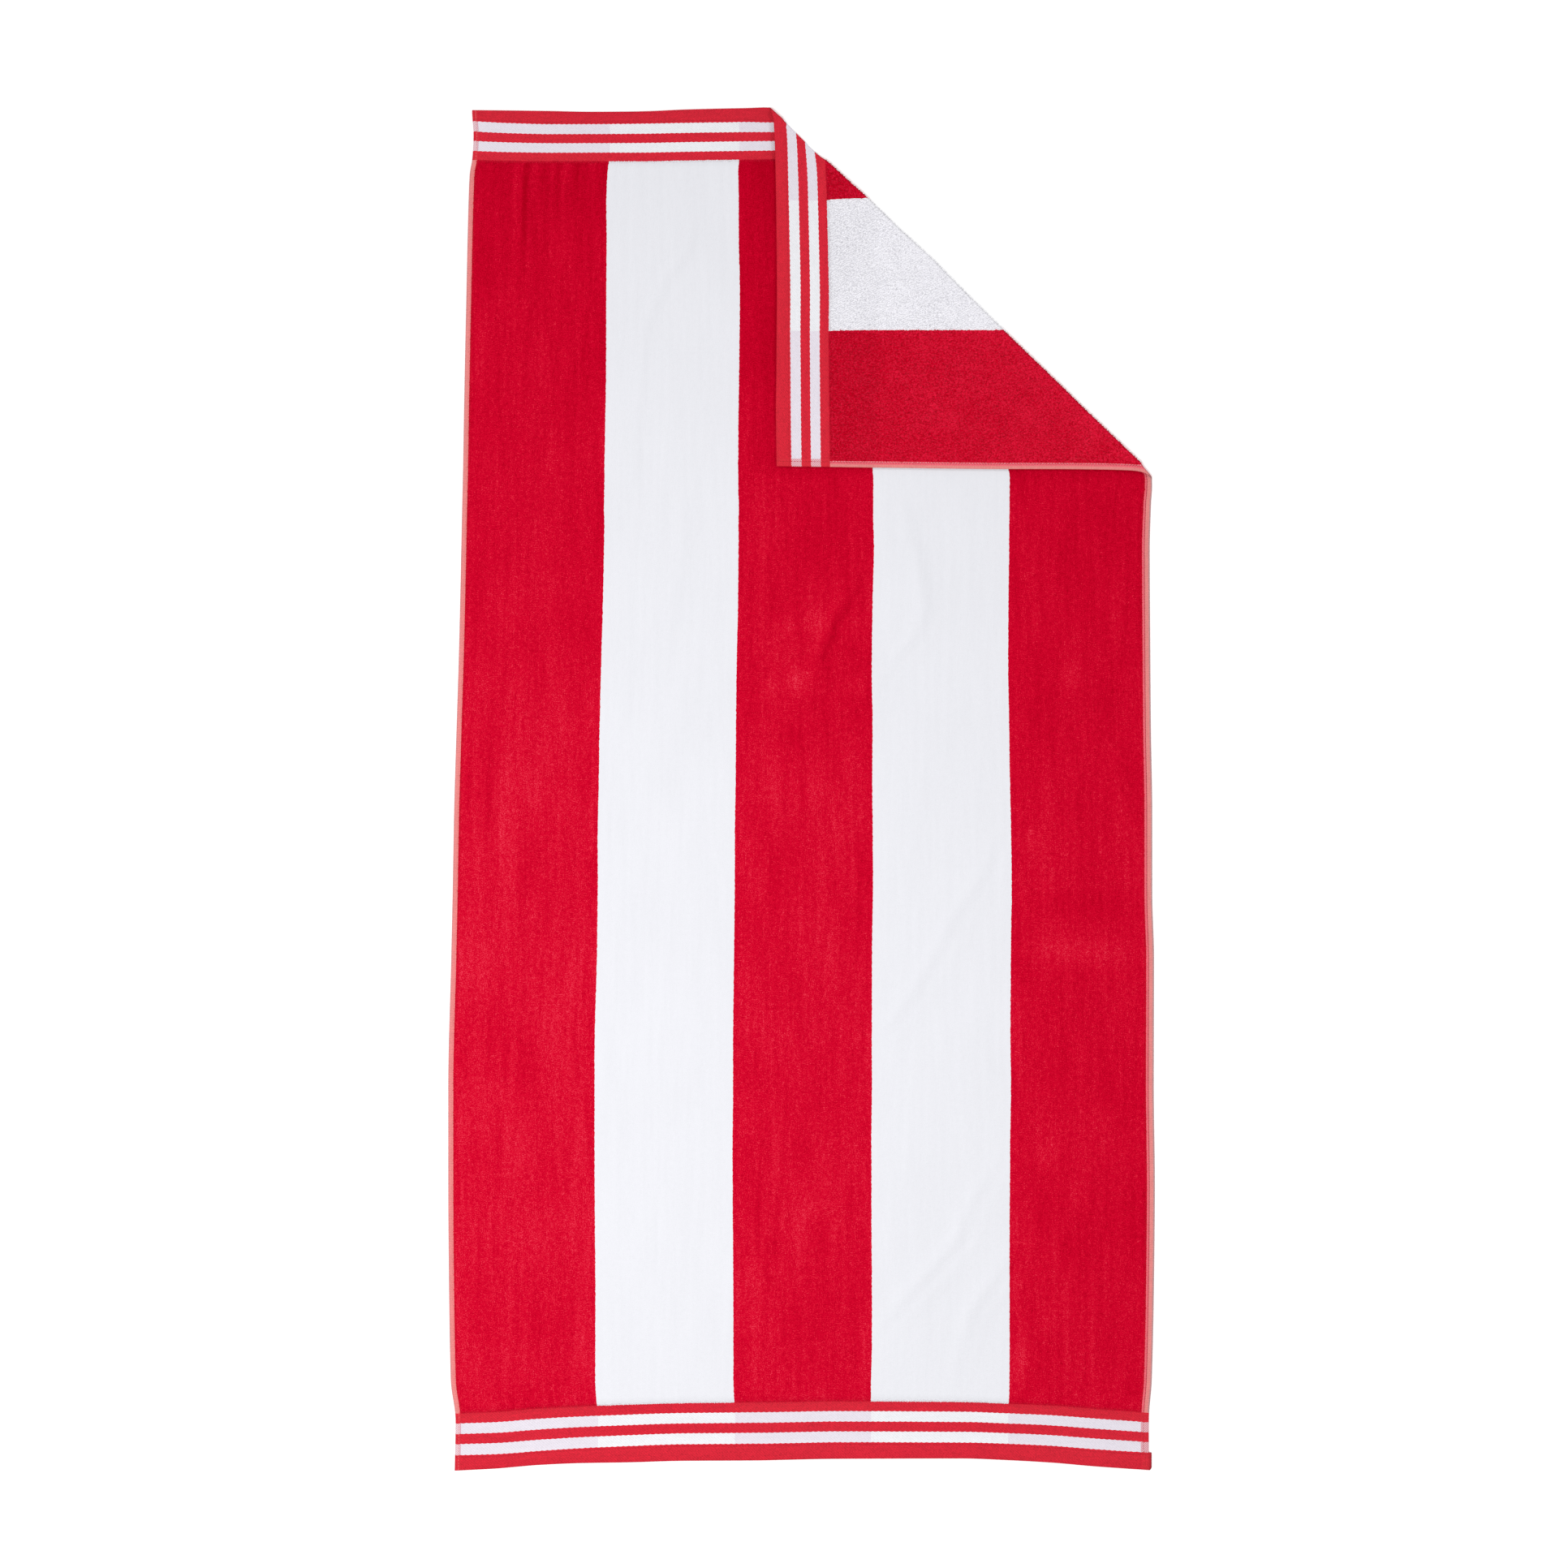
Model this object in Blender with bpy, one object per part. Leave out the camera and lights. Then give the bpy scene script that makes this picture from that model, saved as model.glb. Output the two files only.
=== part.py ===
"""Beach towel of striped terry, laid flat with its top right corner turned down over the face.

The cloth is drawn flat in cloth coordinates, `across` from its left edge and `along` from its
bottom end. `plan` lays it out on the floor, as uneven as it lies there. `fold` turns the corner
back about a straight crease. The cloth's reverse touches the floor and its face looks up, except
on the turned corner. Metres, +Y towards the top of the towel, +Z up, with the floor at z = 0.
"""

import math

import bmesh
import bpy
import numpy as np
from mathutils import Vector

MM = 0.001

# The cloth, cut flat
WIDTH = 0.770
LENGTH = 1.514
LEFT_HEM = 0.0056  # the stitched side hem that shows on the left, which rolls under a little
RIGHT_HEM = 0.0086
END_HEM = 0.0165
STRIPE_WIDTHS = (0.158, 0.152, 0.150, 0.152, 0.158)  # red, white, red, white, red
BORDER_BANDS = (END_HEM, 0.0114, 0.0107, 0.0110, 0.0108)  # red hem, white, red, white, red
BORDER = sum(BORDER_BANDS)

# Thickness of each kind of cloth
PILE_THICK = 0.0030
WOVEN_THICK = 0.0012
END_HEM_THICK = 0.0024
SIDE_HEM_THICK = 0.0022
RIM_THICK = 0.0013  # at the very edge, where a hem rounds off
RIM = 0.0024  # how far in from the edge it reaches its full thickness
RIM_UNDERCUT = 0.0004  # how far the reverse side rounds up at the edge
PILE_STEP = 0.003  # how far the pile takes to rise beside a border or a side hem
HEM_STEP = 0.0015  # half the width of the step down from an end hem to the flat weave

# How the corner is folded
LAYER_GAP = 0.0006  # between the two layers under the turned corner
SETTLE = 0.008  # how far from the crease the turned layer takes to come to its resting height
PINCH_REACH = 0.015  # how far from the crease the thin border is drawn in by its tighter fold
CREASE_START = (-0.0293, 0.7579)  # where the crease leaves the top end
CREASE_ANGLE = math.radians(-44.04)  # down and to the right from there
INNER_BEND = 0.00025  # least radius of the face skin, inside the bend
BEND_STEPS = 8
CUT_SNAP = 0.00002  # a cut this near a point of the grid runs through it
TROUGH_SNAP = 0.0025  # the same for the cuts along the troughs

# The bottom right end hem pokes out past the side hem beneath it
HEM_EAR = 0.0032
HEM_EAR_REACH = 0.020
HEM_EAR_ROUND = 0.002  # the less, the more of its lower corner is rounded off

SWELL = 2.6  # how many times wider than its trough the swell around it is

WIDEST_COLUMN = 0.040
WIDEST_ROW = 0.047
SHARP_EDGE = math.radians(50)

RED = (0.60, 0.004, 0.022, 1)
WHITE = (0.84, 0.84, 0.88, 1)
PINK = (0.78, 0.20, 0.20, 1)


def table(columns, rows):
    """A table in millimetres, as one array in metres for each named column."""
    return dict(zip(columns.split(), np.array(rows, float).T * MM))


# The side edges as they lie, both measured from the middle of the towel
SIDES = table("height left right", [
    (-760, -386.0, 387.5),
    (-705, -385.0, 387.5),
    (-659, -390.4, 390.8),
    (-551, -392.4, 393.2),
    (-442, -393.2, 394.2),
    (-333, -393.2, 393.0),
    (-190, -389.9, 393.3),
    (-116, -388.3, 391.3),
    (-26, -386.7, 391.3),
    (65, -384.0, 389.8),
    (155, -381.2, 389.1),
    (264, -378.7, 388.5),
    (318, -377.6, 390.4),
    (334, -377.2, 392.2),
    (347, -376.9, 393.0),
    (362, -376.6, 388.5),
    (427, -375.5, 384.5),
    (535, -373.3, 380.5),
    (644, -370.8, 375.5),
    (685, -369.2, 373.6),
    (703, -366.2, 372.7),
    (728, -365.0, 371.5),
    (750, -366.4, 370.5),
    (770, -367.2, 369.5),
])

# The ends, the hems' inner lines and the pile's edges as they lie, up or down from the middle.
# Beyond the crease they run as before the fold.
ENDS = table("across bottom bottom_hem bottom_pile top_pile top_hem top", [
    (0, -760.3, -743.1, -696.4, 700.3, 744.0, 756.0),
    (46, -757.9, -741.9, -694.7, 699.2, 741.8, 755.6),
    (92, -754.0, -738.4, -691.0, 698.8, 740.7, 755.0),
    (139, -751.9, -735.3, -688.6, 698.9, 740.8, 754.2),
    (193, -751.0, -732.9, -686.6, 698.8, 741.2, 754.6),
    (254, -749.3, -730.8, -684.9, 699.8, 742.3, 756.9),
    (301, -749.1, -730.5, -684.4, 700.5, 742.9, 758.0),
    (320, -749.0, -730.3, -684.2, 700.8, 743.2, 758.4),
    (336, -748.9, -730.2, -684.0, 701.0, 743.4, 759.1),
    (343, -748.8, -730.2, -684.0, 701.2, 743.5, 759.8),
    (348, -748.7, -730.1, -683.9, 701.3, 743.6, 760.3),
    (352, -748.6, -730.0, -683.9, 701.4, 743.7, 760.2),
    (364, -748.3, -729.8, -683.7, 701.6, 744.0, 758.6),
    (424, -747.1, -728.6, -682.9, 702.8, 745.6, 759.3),
    (562, -746.7, -728.9, -683.6, 704.3, 747.7, 762.3),
    (616, -748.7, -730.4, -685.7, 706.2, 749.6, 764.4),
    (662, -751.3, -732.6, -687.6, 707.5, 750.7, 766.1),
    (708, -755.3, -736.2, -691.1, 708.5, 752.0, 768.1),
    (770, -759.7, -740.2, -695.6, 709.7, 753.2, 769.2),
])

# The crease, from its top end: how far it lies inside the straight line, and its outer radius.
# It is tight through the thin border and full through the hem and the pile.
CREASE = table("run inset radius", [
    (-12, 0.2, 3.4),
    (0, 2.7, 3.4),
    (7, 2.6, 3.4),
    (13, 2.2, 3.4),
    (18, 2.8, 3.2),
    (28, 3.2, 1.7),
    (48, 3.3, 1.7),
    (60, 4.0, 1.7),
    (74, 3.3, 2.2),
    (82, 1.9, 3.0),
    (92, 1.5, 3.3),
    (116, 0.9, 3.4),
    (148, 0.0, 3.4),
    (190, 0.2, 3.4),
    (222, -0.7, 3.4),
    (242, -1.4, 3.4),
    (262, -0.9, 3.4),
    (304, 0.1, 3.4),
    (388, 0.6, 3.4),
    (436, 0.5, 3.4),
    (484, 0.9, 3.4),
    (520, 0.6, 3.4),
    (567, 0.5, 3.4),
    (575, 1.8, 3.0),
    (592, 3.0, 3.0),
])

# Soft puckers below the top border, where the woven border draws in the pile
PUCKERS = table("across reach half_width rise", [
    (19, 55, 7, 0.9),
    (49, 230, 12, 1.7),
    (75, 150, 7, 1.6),
    (99, 65, 9, 1.0),
    (116, 120, 9, 1.6),
    (140, 130, 8, 1.3),
])

# Troughs between the soft swells left in the cloth as it was laid, point by point along each
TROUGHS = {
    "right white stripe, upper": table("across along half_width depth", [
        (497, 1088, 9, 0.0),
        (502, 1055, 11, 1.6),
        (514, 1012, 11, 2.4),
        (525, 950, 12, 2.4),
        (514, 918, 11, 2.2),
        (488, 889, 10, 1.6),
        (472, 853, 9, 0.0),
    ]),
    "right white stripe, middle": table("across along half_width depth", [
        (618, 721, 10, 0.0),
        (586, 644, 12, 1.6),
        (555, 598, 12, 2.0),
        (515, 521, 12, 2.0),
        (489, 485, 11, 1.6),
        (465, 456, 10, 0.0),
    ]),
    "right white stripe, lower": table("across along half_width depth", [
        (613, 345, 10, 0.0),
        (577, 285, 11, 2.0),
        (564, 244, 11, 2.4),
        (538, 212, 11, 2.4),
        (498, 167, 11, 2.0),
        (459, 119, 10, 0.0),
    ]),
    "right white stripe, lowest": table("across along half_width depth", [
        (630, 240, 9, 0.0),
        (591, 182, 10, 2.2),
        (574, 154, 10, 2.0),
        (564, 112, 10, 1.6),
        (559, 76, 9, 0.0),
    ]),
    "middle red stripe": table("across along half_width depth", [
        (457, 994, 9, 0.0),
        (424, 939, 10, 2.0),
        (406, 894, 10, 2.2),
        (412, 855, 9, 0.0),
    ]),
    "left white stripe": table("across along half_width depth", [
        (267, 1410, 9, 0.0),
        (255, 1351, 10, 1.3),
        (232, 1324, 10, 1.6),
        (209, 1270, 10, 1.5),
        (196, 1116, 9, 1.0),
        (174, 1016, 9, 0.0),
    ]),
}


def ramp(x, start, end):
    """0 before start, 1 after end, straight between."""
    return np.clip((x - start) / (end - start), 0, 1)


def smooth_curve(at, xs, ys):
    """Height at `at` of a cubic curve through the points (xs, ys) that never overshoots them."""
    chords = np.diff(ys) / np.diff(xs)
    before, after = np.append(chords[0], chords), np.append(chords, chords[-1])
    level = before * after <= 0
    slopes = np.where(level, 0, 2 * before * after / np.where(level, 1, before + after))
    i = np.clip(np.searchsorted(xs, at) - 1, 0, len(xs) - 2)
    span = xs[i + 1] - xs[i]
    f = np.clip((at - xs[i]) / span, 0, 1)
    ends = ys[i] * (1 + 2 * f) * (1 - f) ** 2 + ys[i + 1] * f**2 * (3 - 2 * f)
    return ends + span * (slopes[i] * f * (1 - f) ** 2 - slopes[i + 1] * f**2 * (1 - f))


def plan(across, along):
    """Where a point of the cloth lies on the floor before the corner is folded."""
    places = [0, END_HEM, BORDER, LENGTH - BORDER, LENGTH - END_HEM, LENGTH]
    lines = [smooth_curve(across, ENDS["across"], line) for line in list(ENDS.values())[1:]]
    y = lines[0]
    for i in range(len(lines) - 1):
        y = y + (lines[i + 1] - lines[i]) * ramp(along, places[i], places[i + 1])
    left = smooth_curve(y, SIDES["height"], SIDES["left"])
    right = smooth_curve(y, SIDES["height"], SIDES["right"])
    ear = ramp(across, WIDTH - HEM_EAR_REACH, WIDTH) * ramp(-along, -END_HEM - HEM_STEP, -END_HEM)
    ear = ear * ramp(along, -HEM_EAR_ROUND, RIM)
    return left + (right - left) * across / WIDTH + HEM_EAR * ear, y


def thickness(across, along):
    """Full thickness of the cloth at a point."""
    from_end = np.minimum(along, LENGTH - along)
    from_right = WIDTH - across
    thick = END_HEM_THICK + (WOVEN_THICK - END_HEM_THICK) * ramp(
        from_end, END_HEM - HEM_STEP, END_HEM + HEM_STEP
    )
    thick += (PILE_THICK - WOVEN_THICK) * ramp(from_end, BORDER, BORDER + PILE_STEP)
    inside = ramp(across, LEFT_HEM, LEFT_HEM + PILE_STEP)
    inside = inside * ramp(from_right, RIGHT_HEM, RIGHT_HEM + PILE_STEP)
    thick = SIDE_HEM_THICK + (thick - SIDE_HEM_THICK) * inside
    return RIM_THICK + (thick - RIM_THICK) * from_rim(across, along)


def from_rim(across, along):
    """0 on the outline of the cloth, 1 from a rim's width inwards."""
    nearest = np.minimum(np.minimum(along, LENGTH - along), np.minimum(across, WIDTH - across))
    return ramp(nearest, 0, RIM)


def bump(x):
    """A smooth hump, 1 in the middle and 0 from -1 and 1 outwards."""
    return np.where(np.abs(x) < 1, np.cos(np.clip(x, -1, 1) * math.pi / 2) ** 2, 0)


def pucker_rise(across, along):
    """How far the puckers below the top border lift the cloth."""
    below = LENGTH - BORDER - along
    rise = np.zeros(len(across))
    for middle, reach, half_width, height in zip(*PUCKERS.values()):
        fade = ramp(below, -PILE_STEP, 2 * PILE_STEP) * (1 - ramp(below, 0, reach)) ** 1.5
        rise = np.maximum(rise, height * fade * bump((across - middle) / half_width))
    return rise


def trough_rise(across, along):
    """How far the swells beside the troughs lift the cloth, which comes down again in them."""
    rise = np.zeros(len(across))
    for trough in TROUGHS.values():
        swell, dip = np.zeros(len(across)), np.zeros(len(across))
        rows = np.stack(list(trough.values()), 1)
        for start, end in zip(rows, rows[1:]):
            (x0, y0), (dx, dy) = start[:2], (end - start)[:2]
            f = ((across - x0) * dx + (along - y0) * dy) / (dx**2 + dy**2)
            f = np.clip(f, 0, 1)
            off = np.hypot(across - x0 - f * dx, along - y0 - f * dy)
            half_width = start[2] + f * (end[2] - start[2])
            depth = start[3] + f * (end[3] - start[3])
            swell = np.maximum(swell, depth * bump(off / (SWELL * half_width)))
            dip = np.maximum(dip, depth * bump(off / half_width))
        rise += swell - dip
    return rise


def crease_frame(across, along):
    """Distances along the crease and past it, and the crease's own figures there."""
    x, y = plan(across, along)
    dx, dy = x - CREASE_START[0], y - CREASE_START[1]
    cos, sin = math.cos(CREASE_ANGLE), math.sin(CREASE_ANGLE)
    run = dx * cos + dy * sin
    past = -dx * sin + dy * cos
    inset = smooth_curve(run, CREASE["run"], CREASE["inset"])
    radius = smooth_curve(run, CREASE["run"], CREASE["radius"])
    return run, past, inset, radius


def fold(across, along):
    """The reverse skin's points with the corner turned, the way to the face, and how far it is."""
    run, past, inset, radius = crease_frame(across, along)
    turn = ramp(past, -radius, radius) * math.pi
    flat = past < -radius
    turned = past > radius
    beyond = np.where(flat, past, np.where(turned, -past, radius * (np.sin(turn) - 1)))

    lying = pucker_rise(across, along) + trough_rise(across, along)
    bend = radius * (1 - np.cos(turn))
    resting = PILE_THICK + LAYER_GAP + thickness(across, along)
    back = np.maximum(past - radius, 0)
    over = resting + (2 * radius - resting) * np.exp(-back / SETTLE)
    height = np.where(flat, lying, np.where(turned, over, bend))

    beyond -= inset * np.exp(np.minimum(beyond + radius, 0) / PINCH_REACH)
    cos, sin = math.cos(CREASE_ANGLE), math.sin(CREASE_ANGLE)
    points = np.stack([
        CREASE_START[0] + run * cos - beyond * sin,
        CREASE_START[1] + run * sin + beyond * cos,
        height,
    ], 1)
    to_face = np.stack([np.sin(turn) * sin, -np.sin(turn) * cos, np.cos(turn)], 1)
    thick = thickness(across, along)
    return points, to_face, np.where(flat | turned, thick, np.minimum(thick, radius - INNER_BEND))


def stations(fixed, widest):
    """Places through all the fixed ones, no two further apart than widest."""
    fixed = sorted(set(fixed))
    places = [fixed[0]]
    for low, high in zip(fixed, fixed[1:]):
        parts = math.ceil((high - low) / widest)
        places += [low + (high - low) * (i + 1) / parts for i in range(parts)]
    return places


def column_stations():
    """Where the grid's columns run: hems, stripe edges and puckers."""
    hems = [0, RIM, LEFT_HEM, LEFT_HEM + PILE_STEP]
    hems += [WIDTH - x for x in (0, RIM, RIGHT_HEM, RIGHT_HEM + PILE_STEP)]
    crests = list(PUCKERS["across"])
    troughs = [(low + high) / 2 for low, high in zip(crests, crests[1:])]
    return stations([*hems, *np.cumsum(STRIPE_WIDTHS)[:-1], *crests, *troughs], WIDEST_COLUMN)


def row_stations():
    """Where the grid's rows run: hems, border bands and the pile's edges, at both ends."""
    bands = np.cumsum(BORDER_BANDS)[1:]
    end = [0, RIM, END_HEM - HEM_STEP, END_HEM + HEM_STEP, *bands, BORDER + PILE_STEP]
    below_border = [BORDER + 0.015, BORDER + 0.035, BORDER + 0.065]
    return stations([*end, *[LENGTH - y for y in end + below_border]], WIDEST_ROW)


def flat_sheet(columns, rows):
    """The cloth as one layer of quads, cut along lines parallel to the crease for the bend.

    Each point keeps its place in the cloth in two layers. It is drawn by its distances past and
    along the crease, so that the cuts are straight.
    """
    sheet = bmesh.new()
    across_layer = sheet.verts.layers.float.new("across")
    along_layer = sheet.verts.layers.float.new("along")
    across, along = (grid.ravel() for grid in np.meshgrid(columns, rows))
    run, past, _, _ = crease_frame(across, along)
    for a, b, x, y in zip(across, along, past, run):
        point = sheet.verts.new((x, y, 0))
        point[across_layer], point[along_layer] = a, b
    sheet.verts.ensure_lookup_table()
    width = len(columns)
    for row in range(len(rows) - 1):
        for column in range(width - 1):
            i = row * width + column
            sheet.faces.new([sheet.verts[j] for j in (i, i + 1, i + width + 1, i + width)])
    cuts = crease_cuts()
    for cut in cuts:
        cut_sheet(sheet, sheet.faces, (cut, 0, 0), (1, 0, 0))
    for cut in CREASE["run"][1:-1]:
        near = [f for f in sheet.faces if cuts[0] < f.calc_center_median().x < cuts[-1]]
        cut_sheet(sheet, near, (0, cut, 0), (0, 1, 0))
    for trough in TROUGHS.values():
        cut_trough(sheet, trough)
    return sheet, across_layer, along_layer


def cut_sheet(sheet, faces, point, across_cut, snap=CUT_SNAP):
    """Cut some of the sheet's faces along one straight line."""
    edges = {e for f in faces for e in f.edges}
    corners = {v for f in faces for v in f.verts}
    bmesh.ops.bisect_plane(
        sheet, geom=[*corners, *edges, *faces], dist=snap, plane_co=point, plane_no=across_cut
    )


def cut_trough(sheet, trough):
    """Cut the sheet along the middle of a trough and along both of its shoulders."""
    run, past, _, _ = crease_frame(trough["across"], trough["along"])
    points = [Vector((x, y, 0)) for x, y in zip(past, run)]
    for start, end, half_width in zip(points, points[1:], trough["half_width"]):
        ahead = (end - start).normalized()
        aside = Vector((-ahead.y, ahead.x, 0))
        length = (end - start).length
        for off in (-half_width, 0, half_width):
            near = [
                f for f in sheet.faces
                if -half_width < (f.calc_center_median() - start).dot(ahead) < length + half_width
                and abs((f.calc_center_median() - start).dot(aside)) < half_width + WIDEST_COLUMN / 2
            ]
            cut_sheet(sheet, near, start + aside * off, aside, TROUGH_SNAP)


def crease_cuts():
    """Distances past the crease, least first, of the cuts for the bend and for where it settles."""
    radius = CREASE["radius"].max()
    bend = [radius * (2 * i / BEND_STEPS - 1) for i in range(BEND_STEPS + 1)]
    return [-radius - 2 * SETTLE, -radius - SETTLE, *bend, radius + SETTLE, radius + 2 * SETTLE]


def colour_slot(across, along):
    """Which material covers a point: 0 red, 1 white, 2 pink side hem."""
    from_end = min(along, LENGTH - along)
    if from_end < BORDER:
        band = int(np.searchsorted(np.cumsum(BORDER_BANDS), from_end))
        return band % 2
    if across < LEFT_HEM or across > WIDTH - RIGHT_HEM:
        return 2
    return int(np.searchsorted(np.cumsum(STRIPE_WIDTHS), across)) % 2


def cloth_material(name, colour):
    """Plain matt cotton in one colour."""
    material = bpy.data.materials.new(name)
    material.use_nodes = True
    shader = material.node_tree.nodes["Principled BSDF"]
    shader.inputs["Base Color"].default_value = colour
    shader.inputs["Roughness"].default_value = 0.95
    shader.inputs["Metallic"].default_value = 0
    return material


def towel_mesh():
    """Both skins of the folded cloth, closed along the rim."""
    sheet, across_layer, along_layer = flat_sheet(column_stations(), row_stations())
    across = np.array([v[across_layer] for v in sheet.verts])
    along = np.array([v[along_layer] for v in sheet.verts])
    points, to_face, thick = fold(across, along)
    undercut = RIM_UNDERCUT * (1 - from_rim(across, along))
    reverse = points + to_face * undercut[:, None]
    face = points + to_face * thick[:, None]

    sheet.verts.index_update()
    count = len(sheet.verts)
    loops = [[v.index for v in f.verts] for f in sheet.faces]
    rim = [(e.link_loops[0].vert.index, e.other_vert(e.link_loops[0].vert).index)
           for e in sheet.edges if e.is_boundary]
    polygons = [[i + count for i in loop] for loop in loops]
    polygons += [loop[::-1] for loop in loops]
    polygons += [(a, b, b + count, a + count) for a, b in rim]
    mesh = bpy.data.meshes.new("towel")
    mesh.from_pydata(np.vstack([reverse, face]).tolist(), [], polygons)

    places = np.stack([across, along], 1)
    middles = [places[loop].mean(0) for loop in loops * 2] + [places[list(pair)].mean(0) for pair in rim]
    mesh.polygons.foreach_set("material_index", [colour_slot(*middle) for middle in middles])
    sheet.free()
    return mesh


def towel():
    """The towel, its origin on the floor under the middle of its box."""
    mesh = towel_mesh()
    corners = np.array([v.co for v in mesh.vertices])
    middle = (corners.max(0) + corners.min(0)) / 2
    for vertex in mesh.vertices:
        vertex.co.x -= middle[0]
        vertex.co.y -= middle[1]
    for name, colour in (("red_terry", RED), ("white_terry", WHITE), ("pink_hem", PINK)):
        mesh.materials.append(cloth_material(name, colour))
    mesh.shade_smooth()
    mesh.set_sharp_from_angle(angle=SHARP_EDGE)
    piece = bpy.data.objects.new("towel", mesh)
    bpy.context.scene.collection.objects.link(piece)
    return piece


def main():
    for old in list(bpy.data.objects):
        bpy.data.objects.remove(old, do_unlink=True)
    towel()


main()
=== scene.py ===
"""Looks of a striped terry beach towel that lies flat with its top right corner turned down.

Every piece is placed in cloth coordinates, `across` from the towel's left edge and `along` from
its bottom end. `plan` lays the cloth out, `fold` turns its corner over, and the stitches, tufts,
loops and thread ride on that same surface. Metres, +Y towards the towel's top, +Z up.
"""

import math

import bmesh
import bpy
import numpy as np
from bpy.props import FloatProperty, FloatVectorProperty, IntProperty, PointerProperty
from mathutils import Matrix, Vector, noise


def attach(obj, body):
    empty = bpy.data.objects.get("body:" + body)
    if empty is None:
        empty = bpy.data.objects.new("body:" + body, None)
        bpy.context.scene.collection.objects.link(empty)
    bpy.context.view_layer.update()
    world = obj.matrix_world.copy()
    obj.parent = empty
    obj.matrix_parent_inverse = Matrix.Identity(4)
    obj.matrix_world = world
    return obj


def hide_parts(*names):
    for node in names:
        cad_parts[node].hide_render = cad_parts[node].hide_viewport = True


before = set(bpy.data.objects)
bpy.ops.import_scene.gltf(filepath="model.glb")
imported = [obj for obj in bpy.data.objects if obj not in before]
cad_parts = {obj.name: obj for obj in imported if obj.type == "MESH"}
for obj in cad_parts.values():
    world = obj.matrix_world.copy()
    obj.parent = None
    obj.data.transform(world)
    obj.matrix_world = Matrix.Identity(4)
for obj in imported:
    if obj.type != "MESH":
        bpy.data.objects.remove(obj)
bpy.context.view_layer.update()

bl_info = {
    "name": "Striped beach towel",
    "version": (1, 0, 0),
    "blender": (4, 5, 0),
    "location": "3D View > Sidebar > Towel",
    "description": "Builds the looks of a folded striped terry towel around its packed frame",
    "category": "Object",
}

MM = 0.001

# The cloth, cut flat
WIDTH = 0.770
LENGTH = 1.514
LEFT_HEM = 0.0056  # the stitched side hem that shows on the left, which rolls under a little
RIGHT_HEM = 0.0086
END_HEM = 0.0165
STRIPES = (0.158, 0.152, 0.150, 0.152, 0.158)  # red, white, red, white, red
BANDS = (END_HEM, 0.0114, 0.0107, 0.0110, 0.0108)  # red hem, white, red, white, red
BORDER = sum(BANDS)
STRIPE_LINES = tuple(np.cumsum(STRIPES)[:-1].tolist())
BAND_LINES = tuple(np.cumsum(BANDS)[:-1].tolist())

# Thickness of each kind of cloth
PILE_THICK = 0.0030
WOVEN_THICK = 0.0012
END_HEM_THICK = 0.0024
SIDE_HEM_THICK = 0.0022
RIM = 0.0024  # how far in from the edge a hem reaches its full thickness
RIM_MIDDLE = 0.0010  # height of the middle of the rounded edge
RIM_SEAM = 0.0001  # half the height of the last strip that closes it
PILE_STEP = 0.003  # how far the pile takes to rise beside a border or a side hem
HEM_STEP = 0.0015  # half the width of the step down from an end hem to the flat weave

# Stitches, tufts and loops on the skins
LOOP_MARGIN = 0.0005  # how near the flat weave the first terry loops stand
LOOP_ROOT = 0.0002  # how deep a loop's feet stand in the cloth
LOOP_TURN = 0.6  # how unevenly the loops are turned, in radians
LOOP_LEAN = 0.45  # and how unevenly they lean
TUFT_ROOT = 0.0003  # how deep a tuft's root stands in the cloth
TUFT_INSETS = (0.0007, 0.0013, 0.0021)  # the rows of edge tufts, in from the pile's edge
TUFT_SCATTER = 0.00025  # how far a tuft strays from its row
STITCH_LIFT = 0.00012  # how far a stitch's middle lies above the cloth
STITCH_TURN = 0.06  # how unevenly the stitches are turned, in radians
STITCH_FLATNESS = 0.7  # a stitch's height in shares of its width
THREAD_LIFT = 0.0004  # how far the loose thread's ends lie above the loops
THREAD_ARCH = 0.0010  # and how much further its middle stands up
THREAD_TINT = 1.6  # how light it is, where a stitch is 0 to 1

# The folded corner
LAYER_GAP = 0.0006  # between the two layers under the turned corner
SETTLE = 0.008  # how far from the crease the turned layer takes to come to its resting height
PINCH_REACH = 0.015  # how far from the crease the thin border is drawn in by its tighter fold
CREASE_START = (-0.0293, 0.7579)  # where the crease leaves the top end
CREASE_ANGLE = math.radians(-44.04)  # down and to the right from there
CREASE_COS, CREASE_SIN = math.cos(CREASE_ANGLE), math.sin(CREASE_ANGLE)
INNER_BEND = 0.00025  # least radius of the face skin, inside the bend
CUT_SNAP = 0.00002  # a cut this near a point of the cloth's grid runs through it
NEAR_CREASE = 0.045  # how far from the crease those cuts reach

# The bottom right end hem pokes out past the side hem beneath it
HEM_EAR = 0.0032
HEM_EAR_REACH = 0.020
HEM_EAR_ROUND = 0.002  # the less, the more of its lower corner is rounded off

# The troughs left in the cloth
SWELL = 2.6  # how many times wider than its trough the swell around it is
DEEPEST = 0.0024  # depth of the deepest trough
LIT_SIDE = 0.014  # how far left of a trough the painted light on its swell lies

# How far the red pile's tone is moved, in shares of its whole range: painted shade in the troughs,
# painted shadow beside the turned corner, darker below the top border and lighter at the bend
FOLD_NAP_SHADE = 0.24  # painted shade in the deepest trough
FLAP_NAP_SHADOW = 0.18  # painted shadow close beside the turned corner
BORDER_NAP = 0.12
BORDER_NAP_REACH = (0.015, 0.100)  # where it fades, down from the top border
BEND_NAP = 0.12
BEND_NAP_REACH = (0.006, 0.034)  # where it fades, away from the crease
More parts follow.
